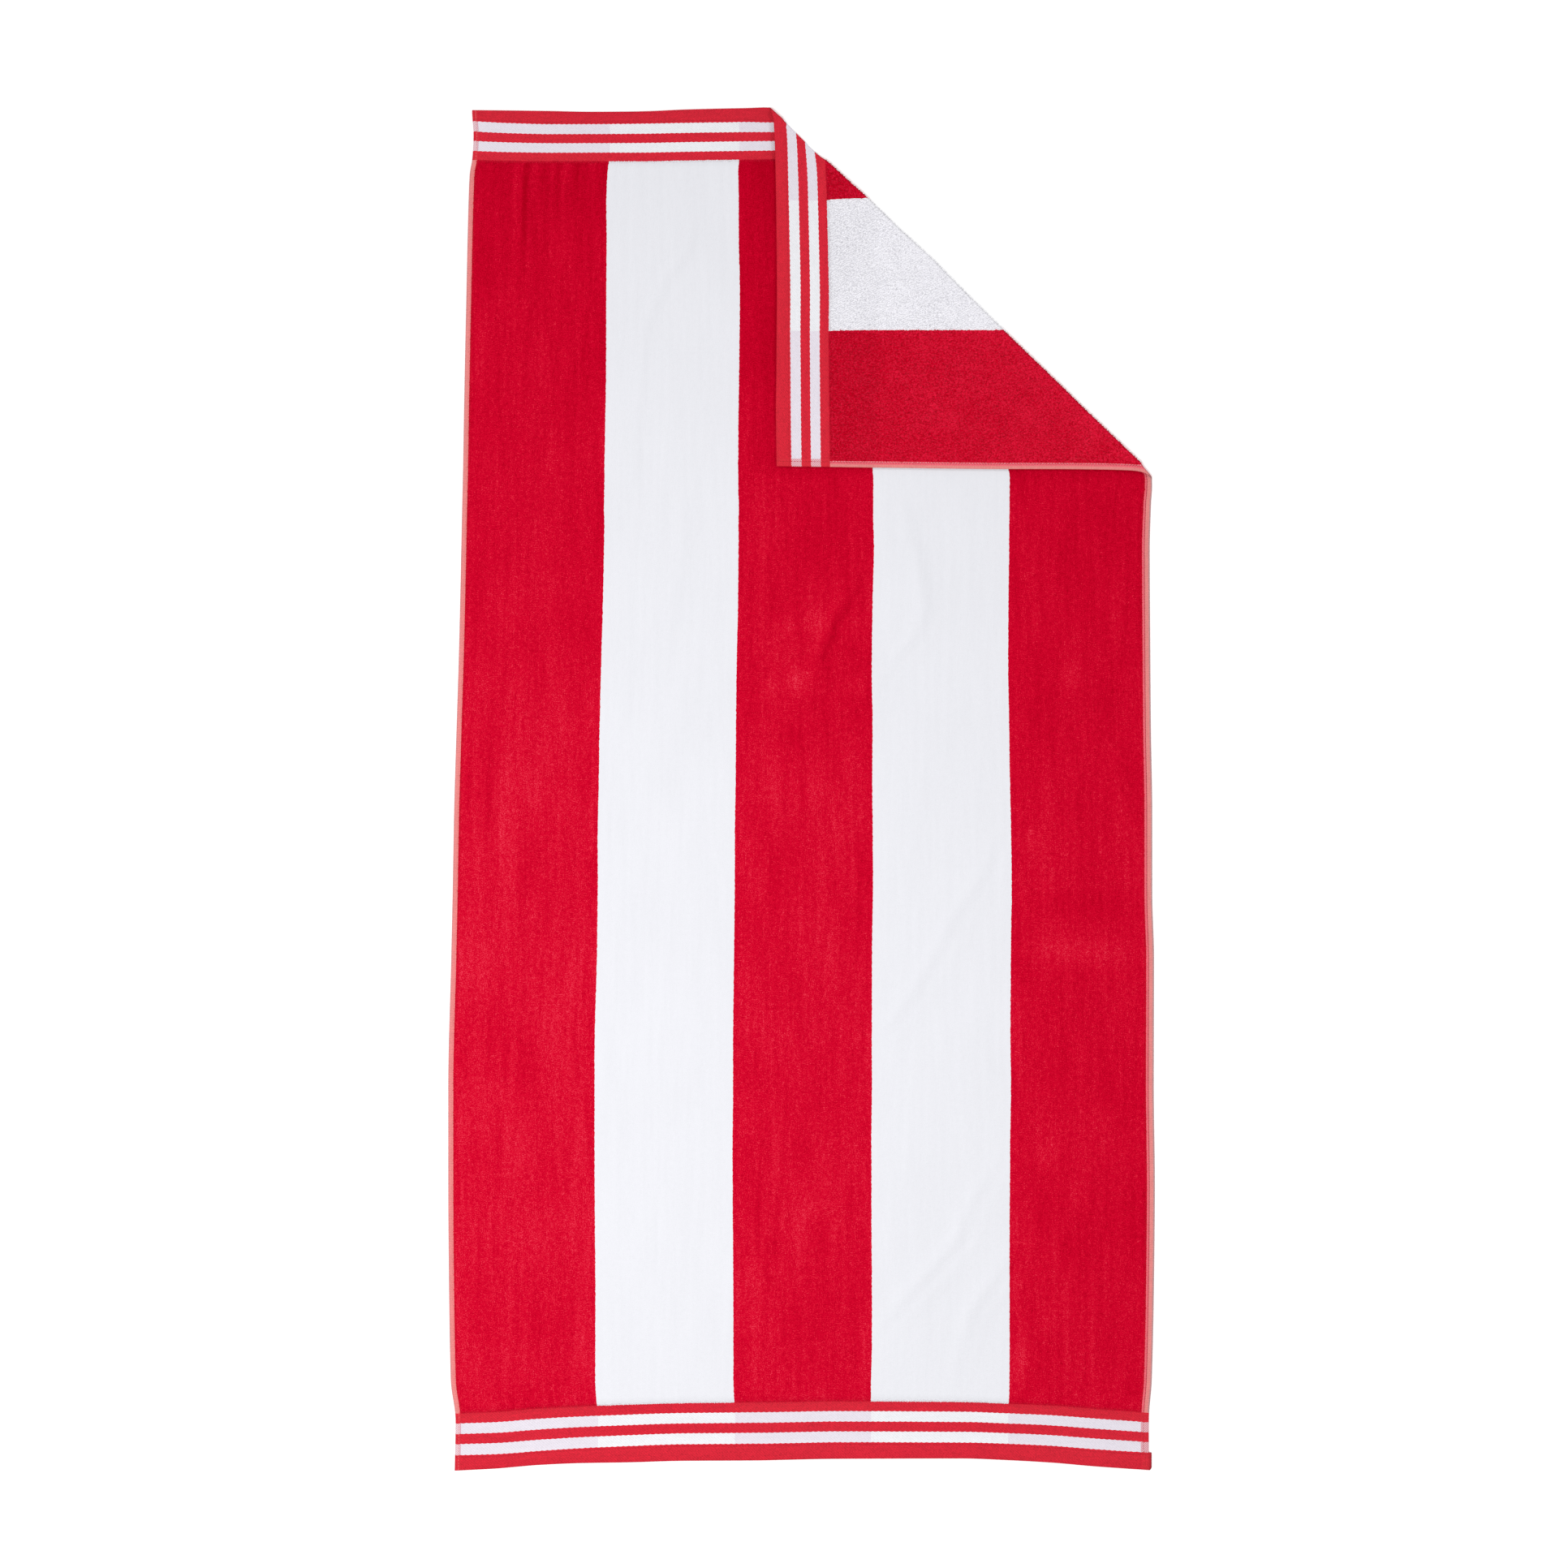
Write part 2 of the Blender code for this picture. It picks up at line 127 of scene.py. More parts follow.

# How much painted shade darkens the cloth's colour
BEND_SHADE = 0.37
BEND_SHADE_AT, BEND_SHADE_HALF = 0.55, 0.40  # in shares of the half turn
FOLD_SHADE = 0.06
FLAP_SHADE = 0.05
FLAP_SHADE_LEFT = 0.040  # how far from its left edge the turned corner's painted shadow darkens the cloth
FLAP_SHADE_LOW = 0.015  # and how far from its lower edge
EAR_SHADE = 0.5
EAR_SHADE_REACH = 0.004
BORDER_SHADE = 0.02
TOP_HEM_SHADE = 0.04
# painted shade where the red stripe beneath shows through the turned corner
OVER_RED_SHADE = 0.05
OVER_RED = 0.0815  # where the red stripe that lies under the turned corner ends
OVER_RED_BLUR = 0.004

# Sewing lines, in from the cloth's edges
LEFT_SEAM = 0.0040
RIGHT_SEAM = 0.0059
END_SEAM = 0.0145
SEAM_GROOVE = 0.00045
SEAM_GROOVE_HALF = 0.0011
REVERSE_GROOVE = 0.00035
REVERSE_HEM = RIGHT_SEAM + SEAM_GROOVE_HALF  # width of the right hem on the reverse

# The weave, from one line, tick, scallop or rib to the next
TWILL_ACROSS, TWILL_ALONG = 0.0033, 0.0027
TICK_ACROSS, TICK_ALONG = 0.0024, 0.0022
SCALLOP_BOTTOM, SCALLOP_TOP = 0.0057, 0.0060  # along the bands of either end
SCALLOP_DEPTH = 0.00050
HEM_RIB = 0.0014
REVERSE_TICK = 0.0030
TICK_LINE, KNOT_LINE = 0.0051, 0.0065  # on the reverse hem, in from its edge
RAGGED = 0.0013  # how unevenly the pile's colours meet

# The two skins, and the cloth's finishes in their order
FACE, REVERSE = 1.0, -1.0
VELOUR_SLOT, LOOP_SLOT, BORDER_SLOT, HEM_SLOT = range(4)

FRAME_MIDDLE = (-0.0195, 0.0055)  # where on the floor the camera looks
FLOOR_DROP = 0.0002  # how far the floor's paper lies below the towel
LIGHTS = [  # name, place, aim, size across, power in watts
    ("overhead", (-0.7, -0.5, 2.5), (-0.49, -0.35, 0), 1.2, 40),
    ("upper_right", (6.0, 6.0, 5.8), (0, 0, 0), 2.8, 240),
]


def table(columns, rows):
    """A table in millimetres, as one array in metres for each named column."""
    return dict(zip(columns.split(), np.array(rows, float).T * MM))


# The side edges as they lie, both measured from the middle of the towel
SIDES = table("height left right", [
    (-760, -386.0, 387.5),
    (-705, -385.0, 387.5),
    (-659, -390.4, 390.8),
    (-551, -392.4, 393.2),
    (-442, -393.2, 394.2),
    (-333, -393.2, 393.0),
    (-190, -389.9, 393.3),
    (-116, -388.3, 391.3),
    (-26, -386.7, 391.3),
    (65, -384.0, 389.8),
    (155, -381.2, 389.1),
    (264, -378.7, 388.5),
    (318, -377.6, 390.4),
    (334, -377.2, 392.2),
    (347, -376.9, 393.0),
    (362, -376.6, 388.5),
    (427, -375.5, 384.5),
    (535, -373.3, 380.5),
    (644, -370.8, 375.5),
    (685, -369.2, 373.6),
    (703, -366.2, 372.7),
    (728, -365.0, 371.5),
    (750, -366.4, 370.5),
    (770, -367.2, 369.5),
])

# The ends, the hems' inner lines and the pile's edges as they lie, up or down from the middle
ENDS = table("across bottom bottom_hem bottom_pile top_pile top_hem top", [
    (0, -760.3, -743.1, -696.4, 700.3, 744.0, 756.0),
    (46, -757.9, -741.9, -694.7, 699.2, 741.8, 755.6),
    (92, -754.0, -738.4, -691.0, 698.8, 740.7, 755.0),
    (139, -751.9, -735.3, -688.6, 698.9, 740.8, 754.2),
    (193, -751.0, -732.9, -686.6, 698.8, 741.2, 754.6),
    (254, -749.3, -730.8, -684.9, 699.8, 742.3, 756.9),
    (301, -749.1, -730.5, -684.4, 700.5, 742.9, 758.0),
    (320, -749.0, -730.3, -684.2, 700.8, 743.2, 758.4),
    (336, -748.9, -730.2, -684.0, 701.0, 743.4, 759.1),
    (343, -748.8, -730.2, -684.0, 701.2, 743.5, 759.8),
    (348, -748.7, -730.1, -683.9, 701.3, 743.6, 760.3),
    (352, -748.6, -730.0, -683.9, 701.4, 743.7, 760.2),
    (364, -748.3, -729.8, -683.7, 701.6, 744.0, 758.6),
    (424, -747.1, -728.6, -682.9, 702.8, 745.6, 759.3),
    (562, -746.7, -728.9, -683.6, 704.3, 747.7, 762.3),
    (616, -748.7, -730.4, -685.7, 706.2, 749.6, 764.4),
    (662, -751.3, -732.6, -687.6, 707.5, 750.7, 766.1),
    (708, -755.3, -736.2, -691.1, 708.5, 752.0, 768.1),
    (770, -759.7, -740.2, -695.6, 709.7, 753.2, 769.2),
])

# The crease, from its top end: how far it lies inside the straight line, and its outer radius
CREASE = table("run inset radius", [
    (-12, 0.2, 3.4),
    (0, 2.7, 3.4),
    (7, 2.6, 3.4),
    (13, 2.2, 3.4),
    (18, 2.8, 3.2),
    (28, 3.2, 1.7),
    (48, 3.3, 1.7),
    (60, 4.0, 1.7),
    (74, 3.3, 2.2),
    (82, 1.9, 3.0),
    (92, 1.5, 3.3),
    (116, 0.9, 3.4),
    (148, 0.0, 3.4),
    (190, 0.2, 3.4),
    (222, -0.7, 3.4),
    (242, -1.4, 3.4),
    (262, -0.9, 3.4),
    (304, 0.1, 3.4),
    (388, 0.6, 3.4),
    (436, 0.5, 3.4),
    (484, 0.9, 3.4),
    (520, 0.6, 3.4),
    (567, 0.5, 3.4),
    (575, 1.8, 3.0),
    (592, 3.0, 3.0),
])

# How far to the right each stripe's line has drifted as the cloth was laid
DRIFT = table("along first second third fourth", [
    (72, 0.4, 0.4, 1.5, 1.9),
    (131, 1.5, 0.6, 2.3, 1.0),
    (196, 2.1, 0.5, 1.9, 0.2),
    (268, 1.9, 0.1, 1.3, -0.2),
    (340, 1.6, -0.1, 1.3, 0.4),
    (413, 1.8, 0.9, 2.4, 2.1),
    (486, 1.3, 0.2, 1.7, 1.1),
    (559, 1.7, -0.1, 1.0, 1.1),
    (632, 1.8, 0.5, 2.6, 3.3),
    (705, 0.8, 0.0, 1.8, 2.2),
    (759, 1.1, 0.2, 1.1, 1.1),
    (814, 0.8, -0.1, 1.4, 0.8),
    (886, 0.8, -0.5, -0.1, -0.4),
    (959, 1.5, 0.2, 0.5, 0.1),
    (1013, 1.8, 0.1, 1.6, 0.6),
    (1050, 1.5, -0.7, -0.2, -0.1),
    (1068, 0.6, -0.9, -0.8, -0.8),
    (1081, 0.4, -2.3, -1.8, -2.0),
    (1097, 0.0, -3.1, -2.6, -2.6),
    (1119, 0.7, -1.3, 0.0, 0.0),
    (1143, 1.3, -0.8, 0.0, 0.0),
    (1225, 2.1, 0.8, 0.0, 0.0),
    (1316, 1.5, 1.7, 0.0, 0.0),
    (1361, 1.6, 0.9, 0.0, 0.0),
    (1406, 0.7, 0.9, 0.0, 0.0),
    (1446, 1.1, -0.2, 0.0, 0.0),
])

# Soft puckers below the top border, where the woven border draws in the pile
PUCKERS = table("across reach half_width rise", [
    (19, 55, 7, 0.9),
    (49, 230, 12, 1.7),
    (75, 150, 7, 1.6),
    (99, 65, 9, 1.0),
    (116, 120, 9, 1.6),
    (140, 130, 8, 1.3),
])

# Troughs between the soft swells left in the cloth as it was laid, point by point along each
TROUGHS = {
    "right white stripe, upper": table("across along half_width depth", [
        (497, 1088, 9, 0.0),
        (502, 1055, 11, 1.6),
        (514, 1012, 11, 2.4),
        (525, 950, 12, 2.4),
        (514, 918, 11, 2.2),
        (488, 889, 10, 1.6),
        (472, 853, 9, 0.0),
    ]),
    "right white stripe, middle": table("across along half_width depth", [
        (618, 721, 10, 0.0),
        (586, 644, 12, 1.6),
        (555, 598, 12, 2.0),
        (515, 521, 12, 2.0),
        (489, 485, 11, 1.6),
        (465, 456, 10, 0.0),
    ]),
    "right white stripe, lower": table("across along half_width depth", [
        (613, 345, 10, 0.0),
        (577, 285, 11, 2.0),
        (564, 244, 11, 2.4),
        (538, 212, 11, 2.4),
        (498, 167, 11, 2.0),
        (459, 119, 10, 0.0),
    ]),
    "right white stripe, lowest": table("across along half_width depth", [
        (630, 240, 9, 0.0),
        (591, 182, 10, 2.2),
        (574, 154, 10, 2.0),
        (564, 112, 10, 1.6),
        (559, 76, 9, 0.0),
    ]),
    "middle red stripe": table("across along half_width depth", [
        (457, 994, 9, 0.0),
        (424, 939, 10, 2.0),
        (406, 894, 10, 2.2),
        (412, 855, 9, 0.0),
    ]),
    "left white stripe": table("across along half_width depth", [
        (267, 1410, 9, 0.0),
        (255, 1351, 10, 1.3),
        (232, 1324, 10, 1.6),
        (209, 1270, 10, 1.5),
        (196, 1116, 9, 1.0),
        (174, 1016, 9, 0.0),
    ]),
}

# Folds too faint to raise the cloth, only painted as shade with painted light on their left, with the
# depth of the trough that each looks like
PAINTED_FOLDS = {
    "left white stripe, middle": table("across along half_width depth", [
        (266, 1128, 8, 0.0),
        (255, 1033, 8, 0.8),
        (243, 928, 8, 0.0),
    ]),
    "left white stripe, lower": table("across along half_width depth", [
        (212, 934, 8, 0.0),
        (196, 884, 8, 0.9),
        (191, 830, 8, 0.9),
        (181, 802, 8, 0.0),
    ]),
    "left red stripe": table("across along half_width depth", [
        (66, 1450, 6, 0.5),
        (75, 1289, 6, 0.6),
        (83, 1090, 6, 0.6),
        (83, 809, 6, 0.5),
        (81, 565, 6, 0.4),
        (84, 311, 6, 0.0),
    ]),
    "left red stripe, by the hem": table("across along half_width depth", [
        (34, 883, 7, 0.0),
        (38, 747, 7, 0.6),
        (42, 666, 7, 0.0),
    ]),
    "middle red stripe, left edge": table("across along half_width depth", [
        (313, 1096, 6, 0.0),
        (314, 1000, 6, 0.7),
        (315, 900, 6, 0.0),
    ]),
}

# Where the nap lies lighter or darker than around it, in thousandths of its whole range
NAP_PATCHES = table("across along half_width half_length opening", [
    (53, 1307, 12, 110, 90),
    (59, 683, 16, 200, 80),
    (337, 1018, 9, 110, 120),
    (381, 867, 22, 28, 260),
    (365, 931, 16, 24, 150),
    (397, 935, 16, 24, 150),
    (444, 930, 14, 28, 140),
    (445, 862, 14, 24, 140),
    (348, 859, 14, 24, 130),
    (376, 804, 30, 26, -160),
    (399, 749, 18, 26, 150),
    (383, 342, 22, 30, -110),
    (400, 276, 18, 26, 130),
    (356, 236, 18, 28, -110),
    (334, 204, 16, 26, 130),
    (682, 871, 20, 28, 170),
    (740, 728, 9, 75, 150),
    (637, 689, 14, 24, 170),
    (690, 618, 90, 26, -120),
    (690, 566, 100, 26, 190),
    (652, 340, 16, 26, 150),
    (684, 299, 16, 26, 150),
    (675, 235, 16, 32, -130),
    (622, 196, 14, 26, 150),
    (748, 84, 20, 30, -150),
    (624, 104, 16, 56, 190),
    (652, 150, 14, 30, 90),
    (425, 1425, 60, 60, -200),
    (80, 72, 100, 45, -110),
    (707, 1235, 20, 20, 140),
    (717, 1320, 20, 20, 140),
])

# Crests and troughs of the puckers in the nap, painted lighter and painted darker as their light and
# shade fall, with the opening in thousandths as well
PUCKER_SHADING = table("across half_width reach opening", [
    (28, 8, 45, -90),
    (54, 8, 110, 260),
    (64, 4.5, 160, -420),
    (73, 6, 64, 270),
    (83, 5, 60, -140),
    (95, 5, 32, 200),
    (102, 4, 30, -80),
    (110, 7, 44, 300),
    (123.5, 4.5, 60, -330),
    (141, 6, 60, 110),
])

# A thread that came loose on the turned corner, point by point along it
LOOSE_THREAD = table("across along", [
    (762.2, 1196),
    (760.0, 1190),
    (758.2, 1184),
    (757.5, 1178),
    (758.6, 1172.5),
    (761.8, 1168),
])


# ---------------------------------------------------------------- the lie of the cloth


def ramp(x, start, end):
    """0 before start, 1 after end, straight between."""
    return np.clip((x - start) / (end - start), 0, 1)


def ease(x, start, end):
    """0 before start, 1 after end, with a soft start and stop."""
    f = ramp(x, start, end)
    return f * f * (3 - 2 * f)


def bump(x):
    """A smooth hump, 1 in the middle and 0 from -1 and 1 outwards."""
    return np.where(np.abs(x) < 1, np.cos(np.clip(x, -1, 1) * math.pi / 2) ** 2, 0)


def smooth_curve(at, xs, ys):
    """Height at `at` of a cubic curve through the points (xs, ys) that never overshoots them."""
    chords = np.diff(ys) / np.diff(xs)
    before, after = np.append(chords[0], chords), np.append(chords, chords[-1])
    level = before * after <= 0
    slopes = np.where(level, 0, 2 * before * after / np.where(level, 1, before + after))
    i = np.clip(np.searchsorted(xs, at) - 1, 0, len(xs) - 2)
    span = xs[i + 1] - xs[i]
    f = np.clip((at - xs[i]) / span, 0, 1)
    ends = ys[i] * (1 + 2 * f) * (1 - f) ** 2 + ys[i + 1] * f**2 * (3 - 2 * f)
    return ends + span * (slopes[i] * f * (1 - f) ** 2 - slopes[i + 1] * f**2 * (1 - f))


def plan(across, along):
    """Where a point of the cloth lies on the floor before the corner is folded."""
    places = [0, END_HEM, BORDER, LENGTH - BORDER, LENGTH - END_HEM, LENGTH]
    lines = [smooth_curve(across, ENDS["across"], line) for line in list(ENDS.values())[1:]]
    y = lines[0]
    for i in range(len(lines) - 1):
        y = y + (lines[i + 1] - lines[i]) * ramp(along, places[i], places[i + 1])
    left = smooth_curve(y, SIDES["height"], SIDES["left"])
    right = smooth_curve(y, SIDES["height"], SIDES["right"])
    ear = ramp(across, WIDTH - HEM_EAR_REACH, WIDTH) * ramp(-along, -END_HEM - HEM_STEP, -END_HEM)
    ear = ear * ramp(along, -HEM_EAR_ROUND, RIM)
    return left + (right - left) * across / WIDTH + HEM_EAR * ear, y


def from_rim(across, along):
    """A quarter circle's rise: 0 on the outline of the cloth, 1 from a rim's width inwards."""
    nearest = np.minimum(np.minimum(along, LENGTH - along), np.minimum(across, WIDTH - across))
    return np.sqrt(1 - (1 - ramp(nearest, 0, RIM)) ** 2)


def in_pile(across, along):
    """1 in the pile, 0 in the hems and woven borders, easing between."""
    from_end = np.minimum(along, LENGTH - along)
    inside = ease(across, LEFT_HEM, LEFT_HEM + PILE_STEP)
    inside = inside * ease(WIDTH - across, RIGHT_HEM, RIGHT_HEM + PILE_STEP)
    return inside * ease(from_end, BORDER, BORDER + PILE_STEP)


def thickness(across, along):
    """Full thickness of the cloth at a point, before its rim is rounded."""
    from_end = np.minimum(along, LENGTH - along)
    woven = END_HEM_THICK + (WOVEN_THICK - END_HEM_THICK) * ease(
        from_end, END_HEM - HEM_STEP, END_HEM + HEM_STEP
    )
    flat = woven + (PILE_THICK - WOVEN_THICK) * ease(from_end, BORDER, BORDER + PILE_STEP)
    inside = ease(across, LEFT_HEM, LEFT_HEM + PILE_STEP)
    inside = inside * ease(WIDTH - across, RIGHT_HEM, RIGHT_HEM + PILE_STEP)
    return SIDE_HEM_THICK + (flat - SIDE_HEM_THICK) * inside


def seam_dip(across, along):
    """How far the sewing pulls the hems in along their seams."""
    from_end = np.minimum(along, LENGTH - along)
    dips = [
        bump((across - LEFT_SEAM) / SEAM_GROOVE_HALF),
        bump((WIDTH - across - RIGHT_SEAM) / SEAM_GROOVE_HALF),
        bump((from_end - END_SEAM) / SEAM_GROOVE_HALF),
    ]
    return SEAM_GROOVE * np.maximum.reduce(dips)


def pucker_rise(across, along):
    """How far the puckers below the top border lift the cloth."""
    below = LENGTH - BORDER - along
    rise = np.zeros(len(across))
    for middle, reach, half_width, height in zip(*PUCKERS.values()):
        fade = ramp(below, -PILE_STEP, 2 * PILE_STEP) * (1 - ramp(below, 0, reach)) ** 1.5
        rise = np.maximum(rise, height * fade * bump((across - middle) / half_width))
    return rise


def path_bump(across, along, path, widening):
    """A hump as high as the path is deep along it, and that many times its half widths wide."""
    hump = np.zeros(len(across))
    rows = np.stack(list(path.values()), 1)
    for start, end in zip(rows, rows[1:]):
        (x0, y0), (dx, dy) = start[:2], (end - start)[:2]
        f = ((across - x0) * dx + (along - y0) * dy) / (dx**2 + dy**2)
        f = np.clip(f, 0, 1)
        off = np.hypot(across - x0 - f * dx, along - y0 - f * dy)
        half_width = start[2] + f * (end[2] - start[2])
        depth = start[3] + f * (end[3] - start[3])
        hump = np.maximum(hump, depth * bump(off / (widening * half_width)))
    return hump


def trough_rise(across, along):
    """How far the swells beside the troughs lift the cloth, which comes down again in them."""
    rise = np.zeros(len(across))
    for trough in TROUGHS.values():
        rise += path_bump(across, along, trough, SWELL) - path_bump(across, along, trough, 1)
    return rise


def ripple(across, along, wide, long, seed):
    """Even noise from -1 to 1 over the cloth, with swells of the given width and length."""
    spots = zip(across / wide, along / long)
    return np.array([noise.noise(Vector((a, b, seed))) for a, b in spots])


def crease_frame(across, along):
    """Distances along the crease and past it, and the crease's own figures there."""
    x, y = plan(across, along)
    dx, dy = x - CREASE_START[0], y - CREASE_START[1]
    run = dx * CREASE_COS + dy * CREASE_SIN
    past = -dx * CREASE_SIN + dy * CREASE_COS
    inset = smooth_curve(run, CREASE["run"], CREASE["inset"])
    radius = smooth_curve(run, CREASE["run"], CREASE["radius"])
    return run, past, inset, radius


def fold(across, along):
    """The reverse skin's points with the corner turned, the way to the face, and how far it is."""
    run, past, inset, radius = crease_frame(across, along)
    turn = ramp(past, -radius, radius) * math.pi
    flat = past < -radius
    turned = past > radius
    beyond = np.where(flat, past, np.where(turned, -past, radius * (np.sin(turn) - 1)))

    lying = pucker_rise(across, along) + trough_rise(across, along)
    bend = radius * (1 - np.cos(turn))
    thick = thickness(across, along)
    resting = PILE_THICK + LAYER_GAP + thick
    over = resting + (2 * radius - resting) * np.exp(-np.maximum(past - radius, 0) / SETTLE)
    height = np.where(flat, lying, np.where(turned, over, bend))

    beyond -= inset * np.exp(np.minimum(beyond + radius, 0) / PINCH_REACH)
    points = np.stack([
        CREASE_START[0] + run * CREASE_COS - beyond * CREASE_SIN,
        CREASE_START[1] + run * CREASE_SIN + beyond * CREASE_COS,
        height,
    ], 1)
    to_face = np.stack([np.sin(turn) * CREASE_SIN, -np.sin(turn) * CREASE_COS, np.cos(turn)], 1)
    return points, to_face, np.where(flat | turned, thick, np.minimum(thick, radius - INNER_BEND))


def skin(across, along, side, lift=0.0):
    """Points on one skin of the lying cloth, raised off it by lift."""
    points, to_face, thick = fold(across, along)
    rise = from_rim(across, along)
    face = RIM_MIDDLE + RIM_SEAM + (thick - RIM_MIDDLE - RIM_SEAM) * rise
    face = face - seam_dip(across, along) * rise
    reverse = (RIM_MIDDLE - RIM_SEAM) * (1 - rise)
    reverse = reverse + seam_dip(across, along) * rise * REVERSE_GROOVE / SEAM_GROOVE
    depth = np.where(np.asarray(side) > 0, face + lift, reverse - lift)
    return points + to_face * depth[:, None] - CENTRE


def lie_centre():
    """The middle of the lying cloth's box, which stands at the frame's origin."""
    steps = np.linspace(0, 1, 1201)
    ends = [(steps * WIDTH, np.full(len(steps), along)) for along in (0.0, LENGTH)]
    sides = [(np.full(len(steps), across), steps * LENGTH) for across in (0.0, WIDTH)]
    points = np.vstack([fold(across, along)[0] for across, along in ends + sides])
    middle = (points.max(0) + points.min(0)) / 2
    return np.array([middle[0], middle[1], 0.0])


CENTRE = lie_centre()


# ---------------------------------------------------------------- sizes and colours to change


def length_property(name, description, default):
    """A size in metres that can be changed."""
    return FloatProperty(
        name=name, description=description, default=default, min=0, unit="LENGTH", precision=5
    )


def colour_property(name, description, default):
    """A colour that can be changed."""
    return FloatVectorProperty(
        name=name, description=description, default=default, min=0, max=1, size=3, subtype="COLOR"
    )


class TowelSizes(bpy.types.PropertyGroup):
    """Sizes of the faces, yarns and stitches."""

    cell: length_property("Cell", "Widest face of the cloth", 0.006)
    bend_steps: IntProperty(
        name="Bend steps", description="Faces around the corner's bend", default=16, min=8, max=32
    )
    nap_ripple: length_property("Nap ripple", "How uneven the sheared pile is", 0.00016)
    stitch_pitch: length_property("Stitch pitch", "From one stitch to the next", 0.0032)
    stitch_length: length_property("Stitch length", "Length of the thread that shows", 0.0025)
    stitch_width: length_property("Stitch width", "Thickness of the sewing thread", 0.0005)
    tuft_spacing: length_property("Tuft spacing", "From one edge tuft to the next", 0.0010)
    tuft_length: length_property("Tuft length", "How far an edge tuft stands out", 0.0010)
    loop_pitch: length_property("Loop pitch", "From one terry loop to the next", 0.0026)
    loop_height: length_property("Loop height", "How far a terry loop stands up", 0.0007)
    loop_span: length_property("Loop span", "Distance between a loop's two feet", 0.0021)
    yarn_width: length_property("Yarn width", "Thickness of the loops' yarn", 0.0010)


class TowelColours(bpy.types.PropertyGroup):
    """Colours of the yarns."""

    velour_shut: colour_property(
        "Velour, shut", "Red velour where the nap lies shut", (0.40, 0.0002, 0.010)
    )
    velour_red: colour_property("Velour", "Red velour in half light", (0.555, 0.0008, 0.0195))
    velour_open: colour_property("Velour, open", "Red velour that stands open", (0.64, 0.0014, 0.0250))
    velour_light: colour_property("Velour, light", "Red velour wide open", (0.70, 0.0090, 0.0330))
    velour_fleck: colour_property("Velour, flecks", "Flecks of the red velour", (0.80, 0.045, 0.085))
    velour_white: colour_property("White velour", "White velour", (0.805, 0.807, 0.85))
    loop_deep: colour_property("Loops, deep", "Red loops at their darkest", (0.58, 0.0001, 0.016))
    loop_light: colour_property("Loops, light", "Red loops at their lightest", (0.94, 0.0190, 0.072))
    loop_white: colour_property("White loops", "White loops", (0.965, 0.955, 1.0))
    border_red: colour_property("Border red", "Red of the woven borders", (0.665, 0.0165, 0.037))
    border_white: colour_property(
        "Border white", "White bands between the red stripes", (0.85, 0.85, 0.885)
    )
    border_tinged: colour_property(
        "Tinged white", "White bands that run over red stripes", (0.79, 0.735, 0.81)
    )
    hem_salmon: colour_property("Hem salmon", "Side hems, outer part", (0.85, 0.265, 0.255))
    hem_pink: colour_property("Hem pink", "Side hems, inner part", (0.92, 0.160, 0.200))
    # painted shade on the outer turn of the side hems, where the edge rolls down
    hem_grey: colour_property("Hem edge", "The outer turn of a side hem", (0.56, 0.30, 0.30))
    tick_pale: colour_property("Ticks, pale", "Right hem over a white band", (0.80, 0.56, 0.60))
    tick_red: colour_property("Ticks, red", "Ticks of the right hem there", (0.66, 0.16, 0.21))
    left_tick_pale: colour_property(
        "Left ticks, pale", "Left hem over a white band", (0.84, 0.66, 0.70)
    )
    left_tick_red: colour_property(
        "Left ticks, red", "Ticks of the left hem there", (0.72, 0.36, 0.42)
    )
    seam_mauve: colour_property("Left seam", "Left seam over a white band", (0.50, 0.20, 0.34))
    seam_dark: colour_property("Right seam", "Seam in the right hem", (0.52, 0.07, 0.10))
    hem_over_red: colour_property("Hem over red", "Side hem over a red band", (0.74, 0.05, 0.06))
    reverse_tick: colour_property("Reverse ticks", "Ticks on the reverse", (0.66, 0.05, 0.10))
    reverse_knot: colour_property("Reverse knots", "Knots on the reverse", (0.95, 0.50, 0.54))
    thread_red: colour_property("Thread red", "Sewing thread", (0.50, 0.014, 0.030))
    thread_pink: colour_property("Thread pink", "Thread of the left hem", (0.86, 0.20, 0.21))


class TowelStage(bpy.types.PropertyGroup):
    """Floor, light and camera."""

    frame_width: length_property("Frame width", "Width of floor that the camera sees", 1.748)
    lens: FloatProperty(
        name="Lens", description="Focal length in millimetres", default=85, min=20, unit="CAMERA"
    )
    floor_size: length_property("Floor size", "Side of the square floor", 60.0)
    floor_glow: FloatProperty(name="Floor glow", description="Light the floor gives off", default=0.22)
    sky: FloatProperty(name="Sky", description="Strength of the even light around", default=0.45)


# ---------------------------------------------------------------- materials


